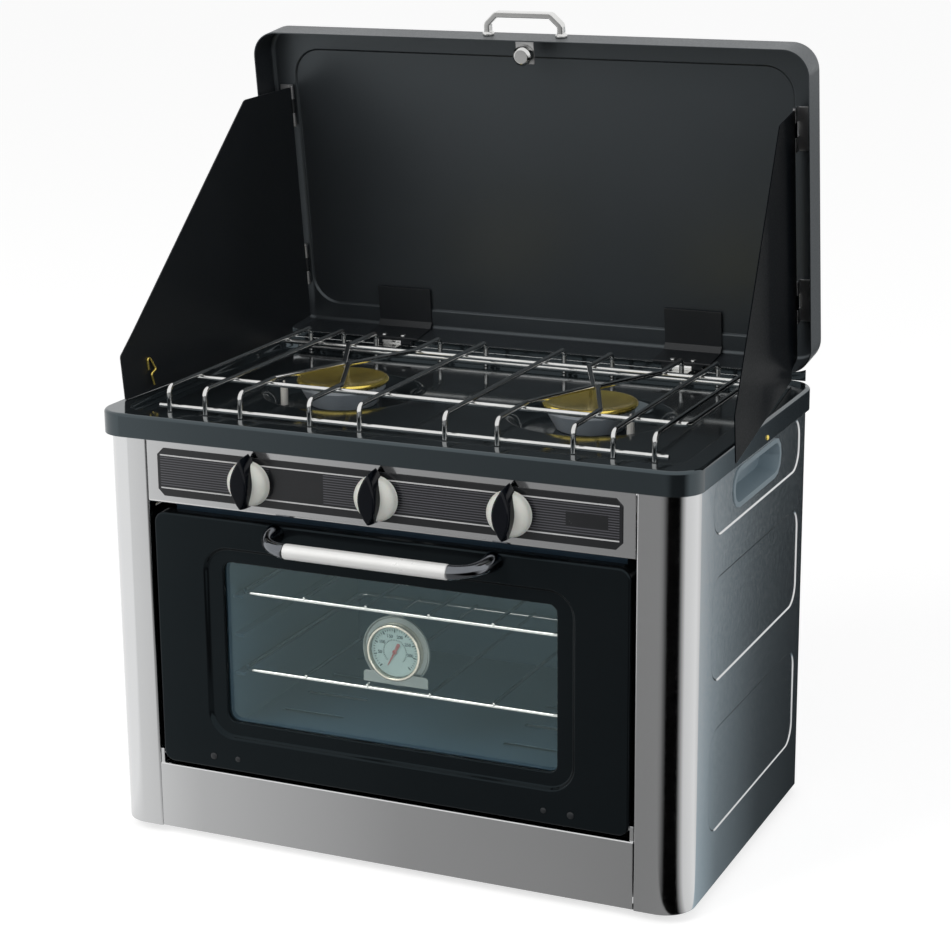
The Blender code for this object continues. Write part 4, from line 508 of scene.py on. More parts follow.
def bridge(work, first, second):
    """Faces from one closed loop of corners to the next."""
    for index in range(len(first)):
        after = (index + 1) % len(first)
        work.faces.new((first[index], first[after], second[after], second[index]))


def rounded_edge(radius, steps=6):
    """The inset and the drop at each step up a quarter-round edge."""
    for step in range(steps + 1):
        angle = math.pi / 2 * step / steps
        yield radius * (1 - math.cos(angle)), radius * (1 - math.sin(angle))


def slope(steps=8):
    """The share across and the eased share down at each step of a pressed slope."""
    for step in range(steps + 1):
        share = step / steps
        yield share, (1 - math.cos(math.pi * share)) / 2


def rounded_path(points, radii, steps=8, closed=False):
    """A path through points whose corners are rounded."""
    points = [Vector(point) for point in points]
    count = len(points)
    if not isinstance(radii, (list, tuple)):
        radii = [radii] * count
    path = []
    for index, corner in enumerate(points):
        radius = radii[index]
        if radius <= 0 or (not closed and index in (0, count - 1)):
            path.append(corner)
            continue
        before = (points[index - 1] - corner).normalized()
        after = (points[(index + 1) % count] - corner).normalized()
        half = before.angle(after) / 2
        reach = radius / math.tan(half)
        centre = corner + (before + after).normalized() * (radius / math.sin(half))
        start = corner + before * reach - centre
        end = corner + after * reach - centre
        turn = start.angle(end)
        for step in range(steps + 1):
            share = step / steps
            arm = (start * math.sin((1 - share) * turn) + end * math.sin(share * turn)) / math.sin(turn)
            path.append(centre + arm)
    return path


def sweep(path, section, closed=False, scales=None):
    """A closed solid with a flat section of (side, up) points run along a path."""
    work = bmesh.new()
    count = len(path)
    rows = []
    side = None
    for index, point in enumerate(path):
        ahead = path[(index + 1) % count] if closed or index < count - 1 else point
        behind = path[index - 1] if closed or index else point
        along = (ahead - behind).normalized()
        if side is None:
            pole = Vector((0, 0, 1)) if abs(along.z) < 0.9 else Vector((0, 1, 0))
            side = along.cross(pole).normalized()
        side = (side - along * side.dot(along)).normalized()
        up = side.cross(along)
        scale = scales[index] if scales else 1
        rows.append([work.verts.new(point + (side * u + up * v) * scale) for u, v in section])
    for first, second in zip(rows, rows[1:]):
        bridge(work, first, second)
    if closed:
        bridge(work, rows[-1], rows[0])
    else:
        work.faces.new(list(reversed(rows[0])))
        work.faces.new(rows[-1])
    return mesh_of(work)


def round_section(radius, steps=12):
    """A circle as a section."""
    return [
        (radius * math.cos(math.tau * step / steps), radius * math.sin(math.tau * step / steps))
        for step in range(steps)
    ]


def tube(path, radius, closed=False, steps=12, domed=True):
    """A round wire along a path, with domed ends."""
    path = [Vector(point) for point in path]
    scales = [1] * len(path)
    if domed and not closed:
        first = (path[0] - path[1]).normalized()
        last = (path[-1] - path[-2]).normalized()
        path = [path[0] + first * radius * 0.4, *path, path[-1] + last * radius * 0.4]
        scales = [0.55, *scales, 0.55]
    return sweep(path, round_section(radius, steps), closed, scales)


def lathe(profile, steps=72):
    """A solid turned about Z from a profile of (radius, height)."""
    work = bmesh.new()
    rows = []
    for radius, height in profile:
        corners = round_section(radius, steps) if radius > 0 else [(0, 0)]
        rows.append([work.verts.new((x, y, height)) for x, y in corners])
    for first, second in zip(rows, rows[1:]):
        for index in range(steps):
            after = (index + 1) % steps
            corners = []
            for row, place in ((first, index), (first, after), (second, after), (second, index)):
                corner = row[place % len(row)]
                if corner not in corners:
                    corners.append(corner)
            if len(corners) > 2:
                work.faces.new(corners)
    return mesh_of(work)


def rounded_rectangle(x0, x1, y0, y1, radius, steps=10):
    """A rounded rectangle, anticlockwise."""
    corners = [(x0, y0, 0), (x1, y0, 0), (x1, y1, 0), (x0, y1, 0)]
    return [(point.x, point.y) for point in rounded_path(corners, radius, steps, closed=True)]


def drawn_in(half, low, high, radius, inset):
    """A rounded rectangle about X = 0, made smaller all round by an inset."""
    return rounded_rectangle(inset - half, half - inset, low + inset, high - inset, radius - inset, 12)


def circle(x, y, radius, steps=96):
    """A circle, anticlockwise."""
    return [(x + u, y + v) for u, v in round_section(radius, steps)]


def pressed(rings, bowls=(), fill=True):
    """A sheet through rings of (points, height), with round bowls sunk in its last ring."""
    work = bmesh.new()

    def chain(list_of_rings):
        """The loops of some rings, bridged one to the next."""
        loops = [[work.verts.new((x, y, height)) for x, y in points] for points, height in list_of_rings]
        for first, second in zip(loops, loops[1:]):
            bridge(work, first, second)
        return loops

    loops = chain(rings)
    starts = [chain(bowl) for bowl in bowls]
    if fill and starts:
        edges = []
        for loop in [loops[-1], *[start[0] for start in starts]]:
            for index, corner in enumerate(loop):
                after = loop[(index + 1) % len(loop)]
                edges.append(work.edges.get((corner, after)) or work.edges.new((corner, after)))
        bmesh.ops.triangle_fill(work, use_beauty=True, use_dissolve=False, edges=edges)
    elif fill:
        work.faces.new(loops[-1])
    bmesh.ops.recalc_face_normals(work, faces=work.faces)
    if sum(face.normal.z * face.calc_area() for face in work.faces) < 0:
        bmesh.ops.reverse_faces(work, faces=work.faces)
    return written(work, "pressed")


def prism(outline, thickness):
    """A flat outline in X and Y, made a solid about Z = 0."""
    work = bmesh.new()
    low = [work.verts.new((x, y, -thickness / 2)) for x, y in outline]
    high = [work.verts.new((x, y, thickness / 2)) for x, y in outline]
    work.faces.new(list(reversed(low)))
    work.faces.new(high)
    bridge(work, low, high)
    return mesh_of(work)


def moved(mesh, matrix):
    """A mesh moved by a matrix or an offset."""
    mesh.transform(matrix if isinstance(matrix, Matrix) else Matrix.Translation(matrix))
    return mesh


# turns a shape's Z to the front, -Y, and its Y up to Z
FACING = Matrix.Rotation(math.radians(90), 4, "X")


def add(name, mesh, slot, body, frame_of=TO_CABINET, nodes=(), sheet=0.0, **finish):
    """A new piece on a body, standing for some nodes of the part."""
    mesh.transform(frame_of)
    piece = link_object(name, mesh)
    if sheet:
        shell = piece.modifiers.new("Sheet", "SOLIDIFY")
        shell.thickness = sheet
        shell.offset = -1
        shell.use_even_offset = True
    dress(piece, slot, **finish)
    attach(piece, body)
    if nodes:
        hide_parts(*nodes)


def stand_in(node, mesh, slot, frame_of=TO_CABINET, **finish):
    """A finer shape in the place of a node, on that node's body."""
    add(f"{node}.fine", mesh, slot, BODY_OF[node], frame_of, [node], **finish)


def refine(node, slot, width=0.00035, flat=True):
    """A node's own shape with its edges rounded and, if flat, its flat faces joined."""
    source = NODES[node]
    work = bmesh.new()
    work.from_mesh(source.data)
    bmesh.ops.remove_doubles(work, verts=work.verts, dist=0.000002)
    if flat:
        bmesh.ops.dissolve_limit(
            work, angle_limit=math.radians(0.4), verts=work.verts, edges=work.edges, delimit={"NORMAL"}
        )
    piece = link_object(f"{node}.fine", mesh_of(work, node))
    dress(piece, slot, width, 32)
    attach(piece, BODY_OF[node])
    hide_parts(node)


# Cabinet


def build_side(side, name):
    """A side in fine steps: post, rounded corner, three pressed panels and the rear fold."""
    top = RIM_TOP - SHEET - GAP
    front = rounded_path(
        [
            (POST_INNER, POST_FLANGE, 0), (POST_INNER, 0, 0), (CABINET_HALF, 0, 0),
            (CABINET_HALF, CABINET_CORNER, 0),
        ],
        [0, FOLD_RADIUS, CABINET_CORNER, 0],
        16,
    )[:-1]
    rear_start = CABINET_DEPTH - REAR_FOLD
    rear = rounded_path(
        [
            (CABINET_HALF, rear_start, 0), (CABINET_HALF, CABINET_DEPTH, 0),
            (CABINET_HALF - REAR_FLANGE, CABINET_DEPTH, 0),
        ],
        [0, REAR_FOLD, 0],
        8,
    )[1:]
    work = bmesh.new()
    for path in (front, rear):
        low = [work.verts.new(point) for point in path]
        high = [work.verts.new((point.x, point.y, top)) for point in path]
        for index in range(len(path) - 1):
            work.faces.new((low[index], low[index + 1], high[index + 1], high[index]))
    strips = written(work, "strips")
    border = [(CABINET_CORNER, 0), (rear_start, 0), (rear_start, top), (CABINET_CORNER, top)]
    presses = []
    floors = []
    for low, high in PRESS_LEVELS:
        rings = []
        for share, ease in slope():
            inset = PRESS_SLOPE * share
            outline = rounded_rectangle(
                PRESS_FRONT + inset, PRESS_REAR - inset, low + inset, high - inset, PRESS_CORNER - inset
            )
            rings.append((outline, -PRESS_DEPTH * ease))
        presses.append(rings)
        holes = []
        if low < HANDLE_HOLE[2] < high:
            holes = [[(rounded_rectangle(*HANDLE_HOLE), -PRESS_DEPTH)]]
        floors.append(pressed([rings[-1]], holes))
    turn = Matrix(((0, 0, 1, CABINET_HALF), (1, 0, 0, 0), (0, 1, 0, 0), (0, 0, 0, 1)))
    flats = [moved(flat, turn) for flat in (pressed([(border, 0)], presses), *floors)]
    mesh = joined([strips, *flats])
    work = bmesh.new()
    work.from_mesh(mesh)
    bmesh.ops.remove_doubles(work, verts=work.verts, dist=0.00001)
    if side < 0:
        bmesh.ops.scale(work, vec=(-1, 1, 1), verts=work.verts)
        bmesh.ops.reverse_faces(work, faces=work.faces)
    work.to_mesh(mesh)
    work.free()
    stand_in(f"side_panel_{name}", mesh, "satin_steel", sheet=SHEET, width=FINE_EDGE, sharp=50)


# Hob


def build_hob():
    """The glossy pressed hob with its rolled rim and its two bowls."""
    field = RIM_TOP - FIELD_DROP

    def ring(inset, height, radius):
        """The rim's outline, drawn in by an inset."""
        sides = (-RIM_HALF + inset, RIM_HALF - inset, RIM_FRONT + inset, RIM_REAR - inset)
        return rounded_rectangle(*sides, radius, 12), height

    rings = [ring(0, RIM_TOP - RIM_SKIRT, RIM_CORNER)]
    for inset, drop in rounded_edge(RIM_EDGE):
        rings.append(ring(inset, RIM_TOP - drop, RIM_CORNER - inset))
    for share, ease in slope():
        inset = RIM_FLAT + RIM_SLOPE * share
        rings.append(ring(inset, RIM_TOP - FIELD_DROP * ease, FIELD_CORNER + RIM_SLOPE * (1 - share)))
    bowls = []
    for x in (-BURNER_X, BURNER_X):
        bowl = []
        for share, ease in slope(10):
            radius = BOWL_RADIUS - BOWL_SLOPE * share
            bowl.append((circle(x, BURNER_Y, radius), field - BOWL_DEPTH * ease))
        bowl.append((circle(x, BURNER_Y, BOWL_HOLE), field - BOWL_DEPTH))
        bowls.append(bowl)
    stand_in(
        "hob_top", pressed(rings, bowls), "black_enamel", sheet=SHEET, width=FINE_EDGE, sharp=50,
        paint="hob_enamel",
    )
    # the turned-up rear edge that closes the gap under the lid
    outline = [(x, RIM_TOP + height) for x, height in REAR_EDGE]
    edge = prism([*outline, *[(-x, z) for x, z in reversed(outline)]], 0.0008)
    add(
        "hob_rear_edge", moved(moved(edge, FACING), (0, RIM_REAR + 0.0001, 0)), "black_enamel", "cabinet",
        width=FINE_EDGE, paint="hob_enamel",
    )
    pin = [(0, 0.0016), (0.0012, 0.0014), (0.0021, 0.0007), (0.0023, 0), (0, 0)]
    sideways = Matrix.Translation((RIM_HALF, RIM_PIN_Y, RIM_PIN_Z)) @ Matrix.Rotation(math.pi / 2, 4, "Y")
    add("rim_pin", moved(lathe(pin, 24), sideways), "polished_brass", "cabinet", sharp=60)


def build_pan_support():
    """The bent and welded bars of the pan support."""
    foot_z = RIM_TOP - FIELD_DROP + GAP
    under = BAR_TOP_Z - 2 * WIRE + 0.0005
    bars = []
    loop = [
        (-SUPPORT_HALF, CROSS_FRONT, under),
        (SUPPORT_HALF, CROSS_FRONT, under),
        (SUPPORT_HALF, CROSS_REAR, under),
        (-SUPPORT_HALF, CROSS_REAR, under),
    ]
    bars.append(tube(rounded_path(loop, SUPPORT_BEND, 8, closed=True), WIRE, closed=True, steps=16))
    for side in (-1, 1):
        runs = [[(x, SUPPORT_FRONT), (x, SUPPORT_REAR)] for x in STRAIGHT_XS]
        for x, lean in zip(VEE_XS, (1, -1)):
            meet = sum(VEE_XS) / 2 - lean * (WIRE - 0.00025)
            runs.append(
                [(x, SUPPORT_FRONT), (x, VEE_FRONT), (meet, VEE_MIDDLE), (x, VEE_REAR), (x, SUPPORT_REAR)]
            )
        for run in runs:
            first_x, first_y = run[0]
            last_x, last_y = run[-1]
            path = [(side * first_x, first_y, foot_z)]
            path += [(side * x, y, BAR_TOP_Z) for x, y in run]
            path.append((side * last_x, last_y, foot_z))
            bars.append(tube(rounded_path(path, SUPPORT_BEND, 8), WIRE, steps=16, domed=False))
    for y in (SUPPORT_FRONT + WIRE + 0.0005, SUPPORT_REAR - WIRE - 0.0005):
        end = SUPPORT_HALF + WIRE
        bars.append(tube([(-end, y, LOWER_WIRE_Z), (end, y, LOWER_WIRE_Z)], WIRE, steps=16, domed=False))
    stand_in("pan_support", joined(bars), "chrome", width=0.0003, sharp=50)


def build_burner(side, name):
    """A brass cap on its flame ring, and the flared cup under it."""
    drops = (
        (0, 0.0030), (0.010, 0.0029), (0.024, 0.0024), (0.033, 0.0014), (0.0375, 0.0003), (0.0392, 0),
        (0.0404, 0.0002), (0.0413, 0.0008), (CAP_RADIUS, 0.0018), (CAP_RADIUS, 0.0030), (0.0412, 0.0042),
        (0.0385, 0.0052), (0.0345, 0.0058), (0.0335, 0.0060), (0.0332, 0.0115), (0, 0.0115),
    )
    cap = [(radius, CAP_TOP - drop) for radius, drop in drops]
    centre = (side * BURNER_X, BURNER_Y, 0)
    stand_in(f"burner_cap_{name}", moved(lathe(cap, 96), centre), "polished_brass", sharp=50)
    ports = []
    lean = Matrix.Rotation(math.radians(150), 4, "Y")
    place = Matrix.Translation((PORT_RADIUS, 0, CAP_TOP - PORT_DROP)) @ lean
    for number in range(PORT_COUNT):
        turn = Matrix.Rotation(math.tau * number / PORT_COUNT, 4, "Z")
        spot = Matrix.Translation(centre) @ turn @ place
        ports.append(moved(prism(round_section(0.0007, 8), 0.0008), spot))
    add(f"burner_ports_{name}", joined(ports), "satin_black", "cabinet")
    refine(f"burner_{name}", "aluminium", width=0.0004)


# Knobs


def lens(top, bottom, half, steps=18):
    """A pointed lens outline in X and Y, from the bottom tip round to the top and back."""
    points = []
    for side in (1, -1):
        for step in range(steps):
            share = step / steps
            along = share if side > 0 else 1 - share
            height = bottom + (top - bottom) * along
            bulge = math.sin(math.pi * along) ** 0.85
            points.append((side * half * bulge if 0 < along < 1 else 0, height))
    return points


def build_knob(x, name):
    """An ivory dome with a foot ring, and the pointed glossy grip across it."""
    dome = [(0, 0.016), (0.007, 0.0159)]
    for step in range(1, 15):
        angle = math.pi / 2 * step / 14
        dome.append((0.007 + 0.0124 * math.sin(angle), 0.0072 + 0.0087 * math.cos(angle)))
    dome += [
        (0.0196, 0.0060), (0.0200, 0.0056), (0.0200, 0.0049), (0.0196, 0.0045), (0.0038, 0.0045),
        (0.0038, 0.0133), (0, 0.0133),
    ]
    place = TO_CABINET @ Matrix.Translation((x, 0, KNOB_Z)) @ FACING
    stand_in(f"knob_skirt_{name}", lathe(dome), "ivory_plastic", place, sharp=50)
    work = bmesh.new()
    rows = []
    for forward, shrink in (
        (0.0046, 0), (0.0150, 0.0003), (0.0225, 0.0009), (0.0246, 0.0013), (0.0256, 0.0020), (0.0261, 0.0031),
    ):
        outline = lens(0.0262 - shrink * 1.8, -0.0215 + shrink * 1.8, 0.0092 - shrink)
        # the front is crowned: highest at its middle
        crown = 0.0035 if rows else 0
        rows.append([work.verts.new((u, v, forward - crown * (v / 0.026) ** 2)) for u, v in outline])
    for first, second in zip(rows, rows[1:]):
        bridge(work, first, second)
    work.faces.new(rows[-1])
    work.faces.new(list(reversed(rows[0])))
    stand_in(f"knob_grip_{name}", mesh_of(work), "black_plastic", place, width=0.0003, sharp=50)


# Oven


def build_rack(level, name):
    """A rack of bright welded wire."""
    z = RACK_LEVELS[level]
    corners = [
        (-RACK_HALF, RACK_FRONT, z), (RACK_HALF, RACK_FRONT, z), (RACK_HALF, RACK_REAR, z),
        (-RACK_HALF, RACK_REAR, z),
    ]
    bars = [tube(rounded_path(corners, 0.010, 10, closed=True), RACK_RADIUS, closed=True, steps=14)]
    for x in RACK_CROSS_XS:
        y0, y1 = RACK_FRONT - RACK_RADIUS, RACK_REAR + RACK_RADIUS
        bars.append(tube([(x, y0, z + RACK_DROP), (x, y1, z + RACK_DROP)], RACK_CROSS_RADIUS, steps=12))
    stand_in(f"oven_rack_{name}", joined(bars), "chrome", sharp=50)


def flat_text(body, size, spot):
    """A generic plain number on the dial, raised by the thickness of its paint."""
    curve = bpy.data.curves.new("number", "FONT")
    curve.body = body
    curve.size = size
    curve.align_x = "CENTER"
    curve.align_y = "CENTER"
    curve.extrude = 0.00003
    curve.offset = 0.00012
    text = bpy.data.objects.new("number", curve)
    bpy.context.scene.collection.objects.link(text)
    bpy.context.view_layer.update()
    mesh = bpy.data.meshes.new_from_object(text.evaluated_get(bpy.context.evaluated_depsgraph_get()))
    bpy.data.objects.remove(text)
    mesh.transform(Matrix.Translation(spot))
    return mesh


def build_thermometer():
    """The dial's ring, bezel, glass, ticks and numbers."""
    place = TO_CABINET @ Matrix.Translation((DIAL_X, DIAL_Y, DIAL_Z)) @ FACING
    case = [
        (0, 0.0035), (0.0229, 0.0035), (0.0229, 0.0024), (0.0298, 0.0018), (0.0305, 0.0030), (0.0313, 0.0034),
        (CASE_RADIUS, 0.0029), (CASE_RADIUS, 0.0008), (0.0314, 0), (0, 0),
    ]
    bezel = [
        (0.0230, 0.0024), (0.0230, 0.0082), (0.0234, 0.0090), (0.0242, 0.0092), (0.0252, 0.0089),
        (0.0259, 0.0080), (BEZEL_RADIUS, 0.0022), (0.0230, 0.0024),
    ]
    add(
        "thermometer_bezel", lathe(bezel, 96), "satin_steel", "cabinet", place, sharp=50, paint="bezel_metal"
    )
    seat = RACK_LEVELS[0] + RACK_DROP + RACK_CROSS_RADIUS + GAP - DIAL_Z
    hook = RACK_LEVELS[1] - DIAL_Z - RACK_RADIUS - GAP
    top = seat + STAND_HEIGHT
    start = math.asin(-top / STAND_ARC)
    arc = []
    for step in range(17):
        angle = -start - (math.pi - 2 * start) * step / 16
        arc.append((STAND_ARC * math.cos(angle), STAND_ARC * math.sin(angle)))
    corners = [(STAND_HALF, seat, 0), (STAND_HALF, top, 0), (-STAND_HALF, top, 0), (-STAND_HALF, seat, 0)]
    rounded = [(p.x, p.y) for p in rounded_path(corners, [0.0005, 0.0032, 0.0032, 0.0005], 6, closed=True)]
    half = len(rounded) // 2
    foot = moved(prism([*rounded[:half], *arc, *rounded[half:]], 0.0010), (0, 0, 0.0042))
    tab = moved(prism(rounded_rectangle(-0.0068, 0.0068, 0.0300, hook, 0.0008, 3), 0.0009), (0, 0, 0.0016))
    stand_in(
        "thermometer_case", joined([lathe(case, 96), tab, foot]), "satin_steel", place, width=FINE_EDGE,
        sharp=40, paint="case_metal",
    )
    marks = []

    def ticks(count, inner, outer, size):
        """Short marks round most of a circle."""
        for number in range(count):
            arm = Matrix.Rotation(math.radians(DIAL_START - number * DIAL_SWEEP / (count - 1)), 4, "Z")
            bar = prism(rounded_rectangle(inner, outer, -size / 2, size / 2, size / 5, 2), 0.00006)
            marks.append(moved(bar, arm @ Matrix.Translation((0, 0, DIAL_FACE))))

    ticks(41, 0.0190, 0.0208, 0.0006)
    ticks(9, 0.0176, 0.0208, 0.0011)
    ticks(33, 0.0102, 0.0116, 0.0006)
    for index, value in enumerate((50, 100, 150, 200, 250, 300)):
        angle = math.radians(DIAL_START - (index + 1) * DIAL_SWEEP / 7)
        spot = (0.0145 * math.cos(angle), 0.0145 * math.sin(angle), DIAL_FACE)
        marks.append(flat_text(str(value), 0.0040, spot))
    add("dial_marks", joined(marks), "black_plastic", "cabinet", place)
    pane = [
        (0, 0.0079), (0.012, 0.0078), (0.0200, 0.0074), (0.0228, 0.0070), (0.0228, 0.0066), (0.0200, 0.0069),
        (0.012, 0.0073), (0, 0.0074),
    ]
    add("dial_glass", lathe(pane, 96), "glass", "cabinet", place, sharp=60)
    blade = [(0.0003, 0.0145), (-0.0003, 0.0145), (-0.0011, -0.002), (-0.00165, -0.0065)]
    for step in range(9):
        angle = math.pi + math.pi * step / 8
        blade.append((0.00165 * math.cos(angle), -0.0073 + 0.00165 * math.sin(angle)))
    blade += [(0.00165, -0.0065), (0.0011, -0.002)]
    hub = [(0, 0.0064), (0.0015, 0.0063), (0.0021, 0.0059), (0.0021, 0.0050), (0, 0.0050)]
    needle = joined([moved(prism(blade, 0.0005), (0, 0, 0.0053)), lathe(hub, 32)])
    turn = Matrix.Rotation(math.radians(NEEDLE_REST), 4, "Z")
    stand_in("thermometer_needle", moved(needle, turn), "red_paint", place, sharp=50)
    refine("thermometer_dial", "dial_paint", width=0.0001)


# Door


def build_door():
    """The pressed door front and its handle."""
    rings = [(drawn_in(*DOOR_SHAPE, 0), -DOOR_DEPTH)]
    for inset, drop in rounded_edge(DOOR_EDGE):
        rings.append((drawn_in(*DOOR_SHAPE, inset), -drop))
    for share, ease in slope():
        rings.append((drawn_in(*STEP_SHAPE, STEP_DEPTH * share), -STEP_DEPTH * ease))
    for y, inset in ((0.004, -0.0012), (0.0044, -0.0004), (0.0052, 0), (0.0077, 0)):
        rings.append((drawn_in(*WINDOW_SHAPE, inset), -y))
    sheet = moved(pressed(rings, fill=False), FACING)
    # the door wears the darker, weakly reflecting enamel, painted shade
    stand_in("door_frame", sheet, "black_enamel", sheet=SHEET, width=FINE_EDGE, sharp=50)
    bar = [
        (0, 0.0), (0.0052, 0.0), (0.0064, 0.0005), (BAR_RADIUS, 0.0015), (BAR_RADIUS, 2 * BAR_HALF - 0.0015),
        (0.0064, 2 * BAR_HALF - 0.0005), (0.0052, 2 * BAR_HALF), (0, 2 * BAR_HALF),
    ]
    along = TO_CABINET @ Matrix.Translation((-BAR_HALF, BAR_Y, BAR_Z)) @ Matrix.Rotation(math.pi / 2, 4, "Y")
    stand_in("door_handle_bar", lathe(bar, 64), "satin_steel", along, sharp=50, paint="bar_metal")
    for side, name in ((-1, "left"), (1, "right")):
        start = BAR_HALF + GAP
        path = []
        scales = []
        steps = 28
        for step in range(steps + 1):
            angle = math.pi / 2 * step / steps
            x = start + (BRACKET_X - start) * math.sin(angle)
            y = BAR_Y * max(math.cos(angle), 0) ** 0.8
            path.append(Vector((side * x, y - GAP, BAR_Z + (BRACKET_Z - BAR_Z) * step / steps)))
            waist = 1 - 0.25 * math.sin(math.pi * step / steps)
            scales.append(waist * (1 + (BRACKET_FOOT / BAR_RADIUS - 1) * step / steps))
        mesh = sweep(path, round_section(BAR_RADIUS, 28), scales=scales)
        stand_in(f"door_handle_bracket_{name}", mesh, "dark_chrome", width=0.0005, sharp=50)


def screw(radius, height):
    """A low domed screw head, standing on Z = 0."""
    profile = [(0, height)]
    for step in range(1, 7):
        angle = math.pi / 2 * step / 6
        profile.append((radius * math.sin(angle), height * math.cos(angle) ** 0.7 if step < 6 else 0))
    profile.append((0, 0))
    return lathe(profile, 20)


def build_door_screws():
    """The door's four small screws, flush on its front."""
    heads = []
    for across, height, radius, rise in DOOR_SCREWS:
        for side in (-1, 1):
            heads.append(moved(screw(radius, rise), (side * across, height, 0)))
    add("door_screws", joined(heads), "satin_black", "door", TO_CABINET @ FACING, sharp=40)


# Lid


def build_lid():
    """The pressed lid with its embossed back, and the screws of its hinges."""
    border = LID_FRONT + LID_DEPTH - EMBOSS_DEPTH
    rings = [(drawn_in(*LID_SHAPE, 0), LID_FRONT)]
    for inset, drop in rounded_edge(LID_EDGE, 8):
        rings.append((drawn_in(*LID_SHAPE, inset), border - drop))
    for share, ease in slope(6):
        rings.append((drawn_in(*EMBOSS_SHAPE, EMBOSS_DEPTH * share), border + EMBOSS_DEPTH * ease))
    mesh = pressed(rings)
    # flat x and y become the lid's x and z, and the height its y, so the faces are turned over
    mesh.transform(Matrix(((1, 0, 0, 0), (0, 0, 1, 0), (0, 1, 0, 0), (0, 0, 0, 1))))
    mesh.flip_normals()
    # the lid wears the lighter copy of its black paint, painted light
    stand_in(
        "lid_shell", mesh, "satin_black", TO_LID, sheet=SHEET, width=FINE_EDGE, sharp=50, paint="lit_lid_paint"
    )
    heads = []
    for x in HINGE_SCREW_XS:
        heads.append(moved(screw(0.0030, 0.0016), (x, LID_FRONT + 0.004, LID_BOTTOM + 0.0023)))
    add("hinge_screws", joined(heads), "chrome", "lid", TO_LID, sharp=40)


def build_shields():
    """The folding wind shields, low over the hob, with their hinge barrels and wire clips."""
    inside = LID_FRONT + LID_DEPTH - EMBOSS_DEPTH - SHEET - GAP - SHIELD_BARREL
    level = LID_BOTTOM
    # low is the height at which the lower edge starts, near the hinges
    for side, name, setback, flare, low, slot, paint in (
        (-1, "left", 0.0023, math.radians(3.3), -0.0014, "polished_brass", "satin_black"),
        # the right shield wears the darker copy of its black paint, painted shade
        (1, "right", 0.0060, math.radians(8), 0.0010, "chrome", "shield_paint"),
    ):
        outline = [
            (SHIELD_NECK, level + 0.0065), (0.0380, level + 0.0068), (0.0380, low),
            (SHIELD_REACH, level + 0.030), (SHIELD_REACH, level + 0.071), (0.299, level + 0.087),
            (0.085, level + 0.245), (SHIELD_NECK, level + 0.238),
        ]
        corners = [(x, y, 0) for x, y in outline]
        radii = [0, 0.003, 0.001, 0.002, 0.004, 0.006, 0.008, 0.003]
        sheet = prism([(p.x, p.y) for p in rounded_path(corners, radii, 6, closed=True)], SHEET)
        # the outline's x runs forwards along -Y, its y is Z and its z is X
        sheet.transform(Matrix(((0, 0, -1, 0), (-1, 0, 0, 0), (0, 1, 0, 0), (0, 0, 0, 1))))
        shapes = [sheet]
        for height in KNUCKLE_LEVELS:
            z = level + height
            knuckle = [
                (0, -KNUCKLE_HALF), (SHIELD_BARREL, -KNUCKLE_HALF), (SHIELD_BARREL, KNUCKLE_HALF),
                (0, KNUCKLE_HALF),
            ]
            shapes.append(moved(lathe(knuckle, 24), (0, 0, z)))
            web = rounded_rectangle(-0.0005, 0.0005, -0.0046, -0.001, 0.0001, 2)
            web = prism(web, 2 * KNUCKLE_HALF - 0.0001)
            shapes.append(moved(web, (0, 0, z)))
        seat = TO_LID @ Matrix.Translation((side * SHIELD_X, inside - setback, 0))
        seat = seat @ Matrix.Rotation(side * flare, 4, "Z")
        stand_in(
            f"wind_shield_{name}", joined(shapes), "satin_black", seat, width=FINE_EDGE, sharp=40, paint=paint
        )
        x = -side * 0.0013
        far = -side * 0.0037
        path = [
            (x, -0.284, level + 0.046), (x, -0.284, level + 0.056), (x, -0.280, level + 0.056),
            (far, -0.276, level + 0.044), (far, -0.284, level + 0.042), (far, -0.281, level + 0.031),
        ]
        wire = tube(rounded_path(path, 0.0016, 5), 0.0010, steps=10)
        add(f"shield_clip_{name}", wire, slot, f"wind_shield_{name}", seat, sharp=60)


def build_lid_handle():
    """The flat bright bail on its two round feet."""
    base = LID_BOTTOM + LID_HEIGHT + GAP
    y = LID_FRONT + LID_DEPTH / 2
    top = base + BAIL_HEIGHT - 0.0026
    path = rounded_path(
        [
            (-BAIL_HALF, y, base + 0.001), (-BAIL_HALF, y, base + BAIL_STEM), (-BAIL_TOP_HALF, y, top),
            (BAIL_TOP_HALF, y, top), (BAIL_HALF, y, base + BAIL_STEM), (BAIL_HALF, y, base + 0.001),
        ],
        [0, 0.003, 0.003, 0.003, 0.003, 0],
        6,
    )
    section = rounded_rectangle(-0.0026, 0.0026, -0.0042, 0.0042, 0.0009, 3)
    shapes = [sweep(path, section)]
    for side in (-1, 1):
        foot = [(0, 0.0034), (0.0036, 0.0034), (0.0050, 0.0028), (0.0055, 0.0018), (0.0055, 0.0), (0, 0.0)]
        shapes.append(moved(lathe(foot, 32), (side * BAIL_HALF, y, base)))
    stand_in("lid_handle", joined(shapes), "chrome", TO_LID, width=0.0003)


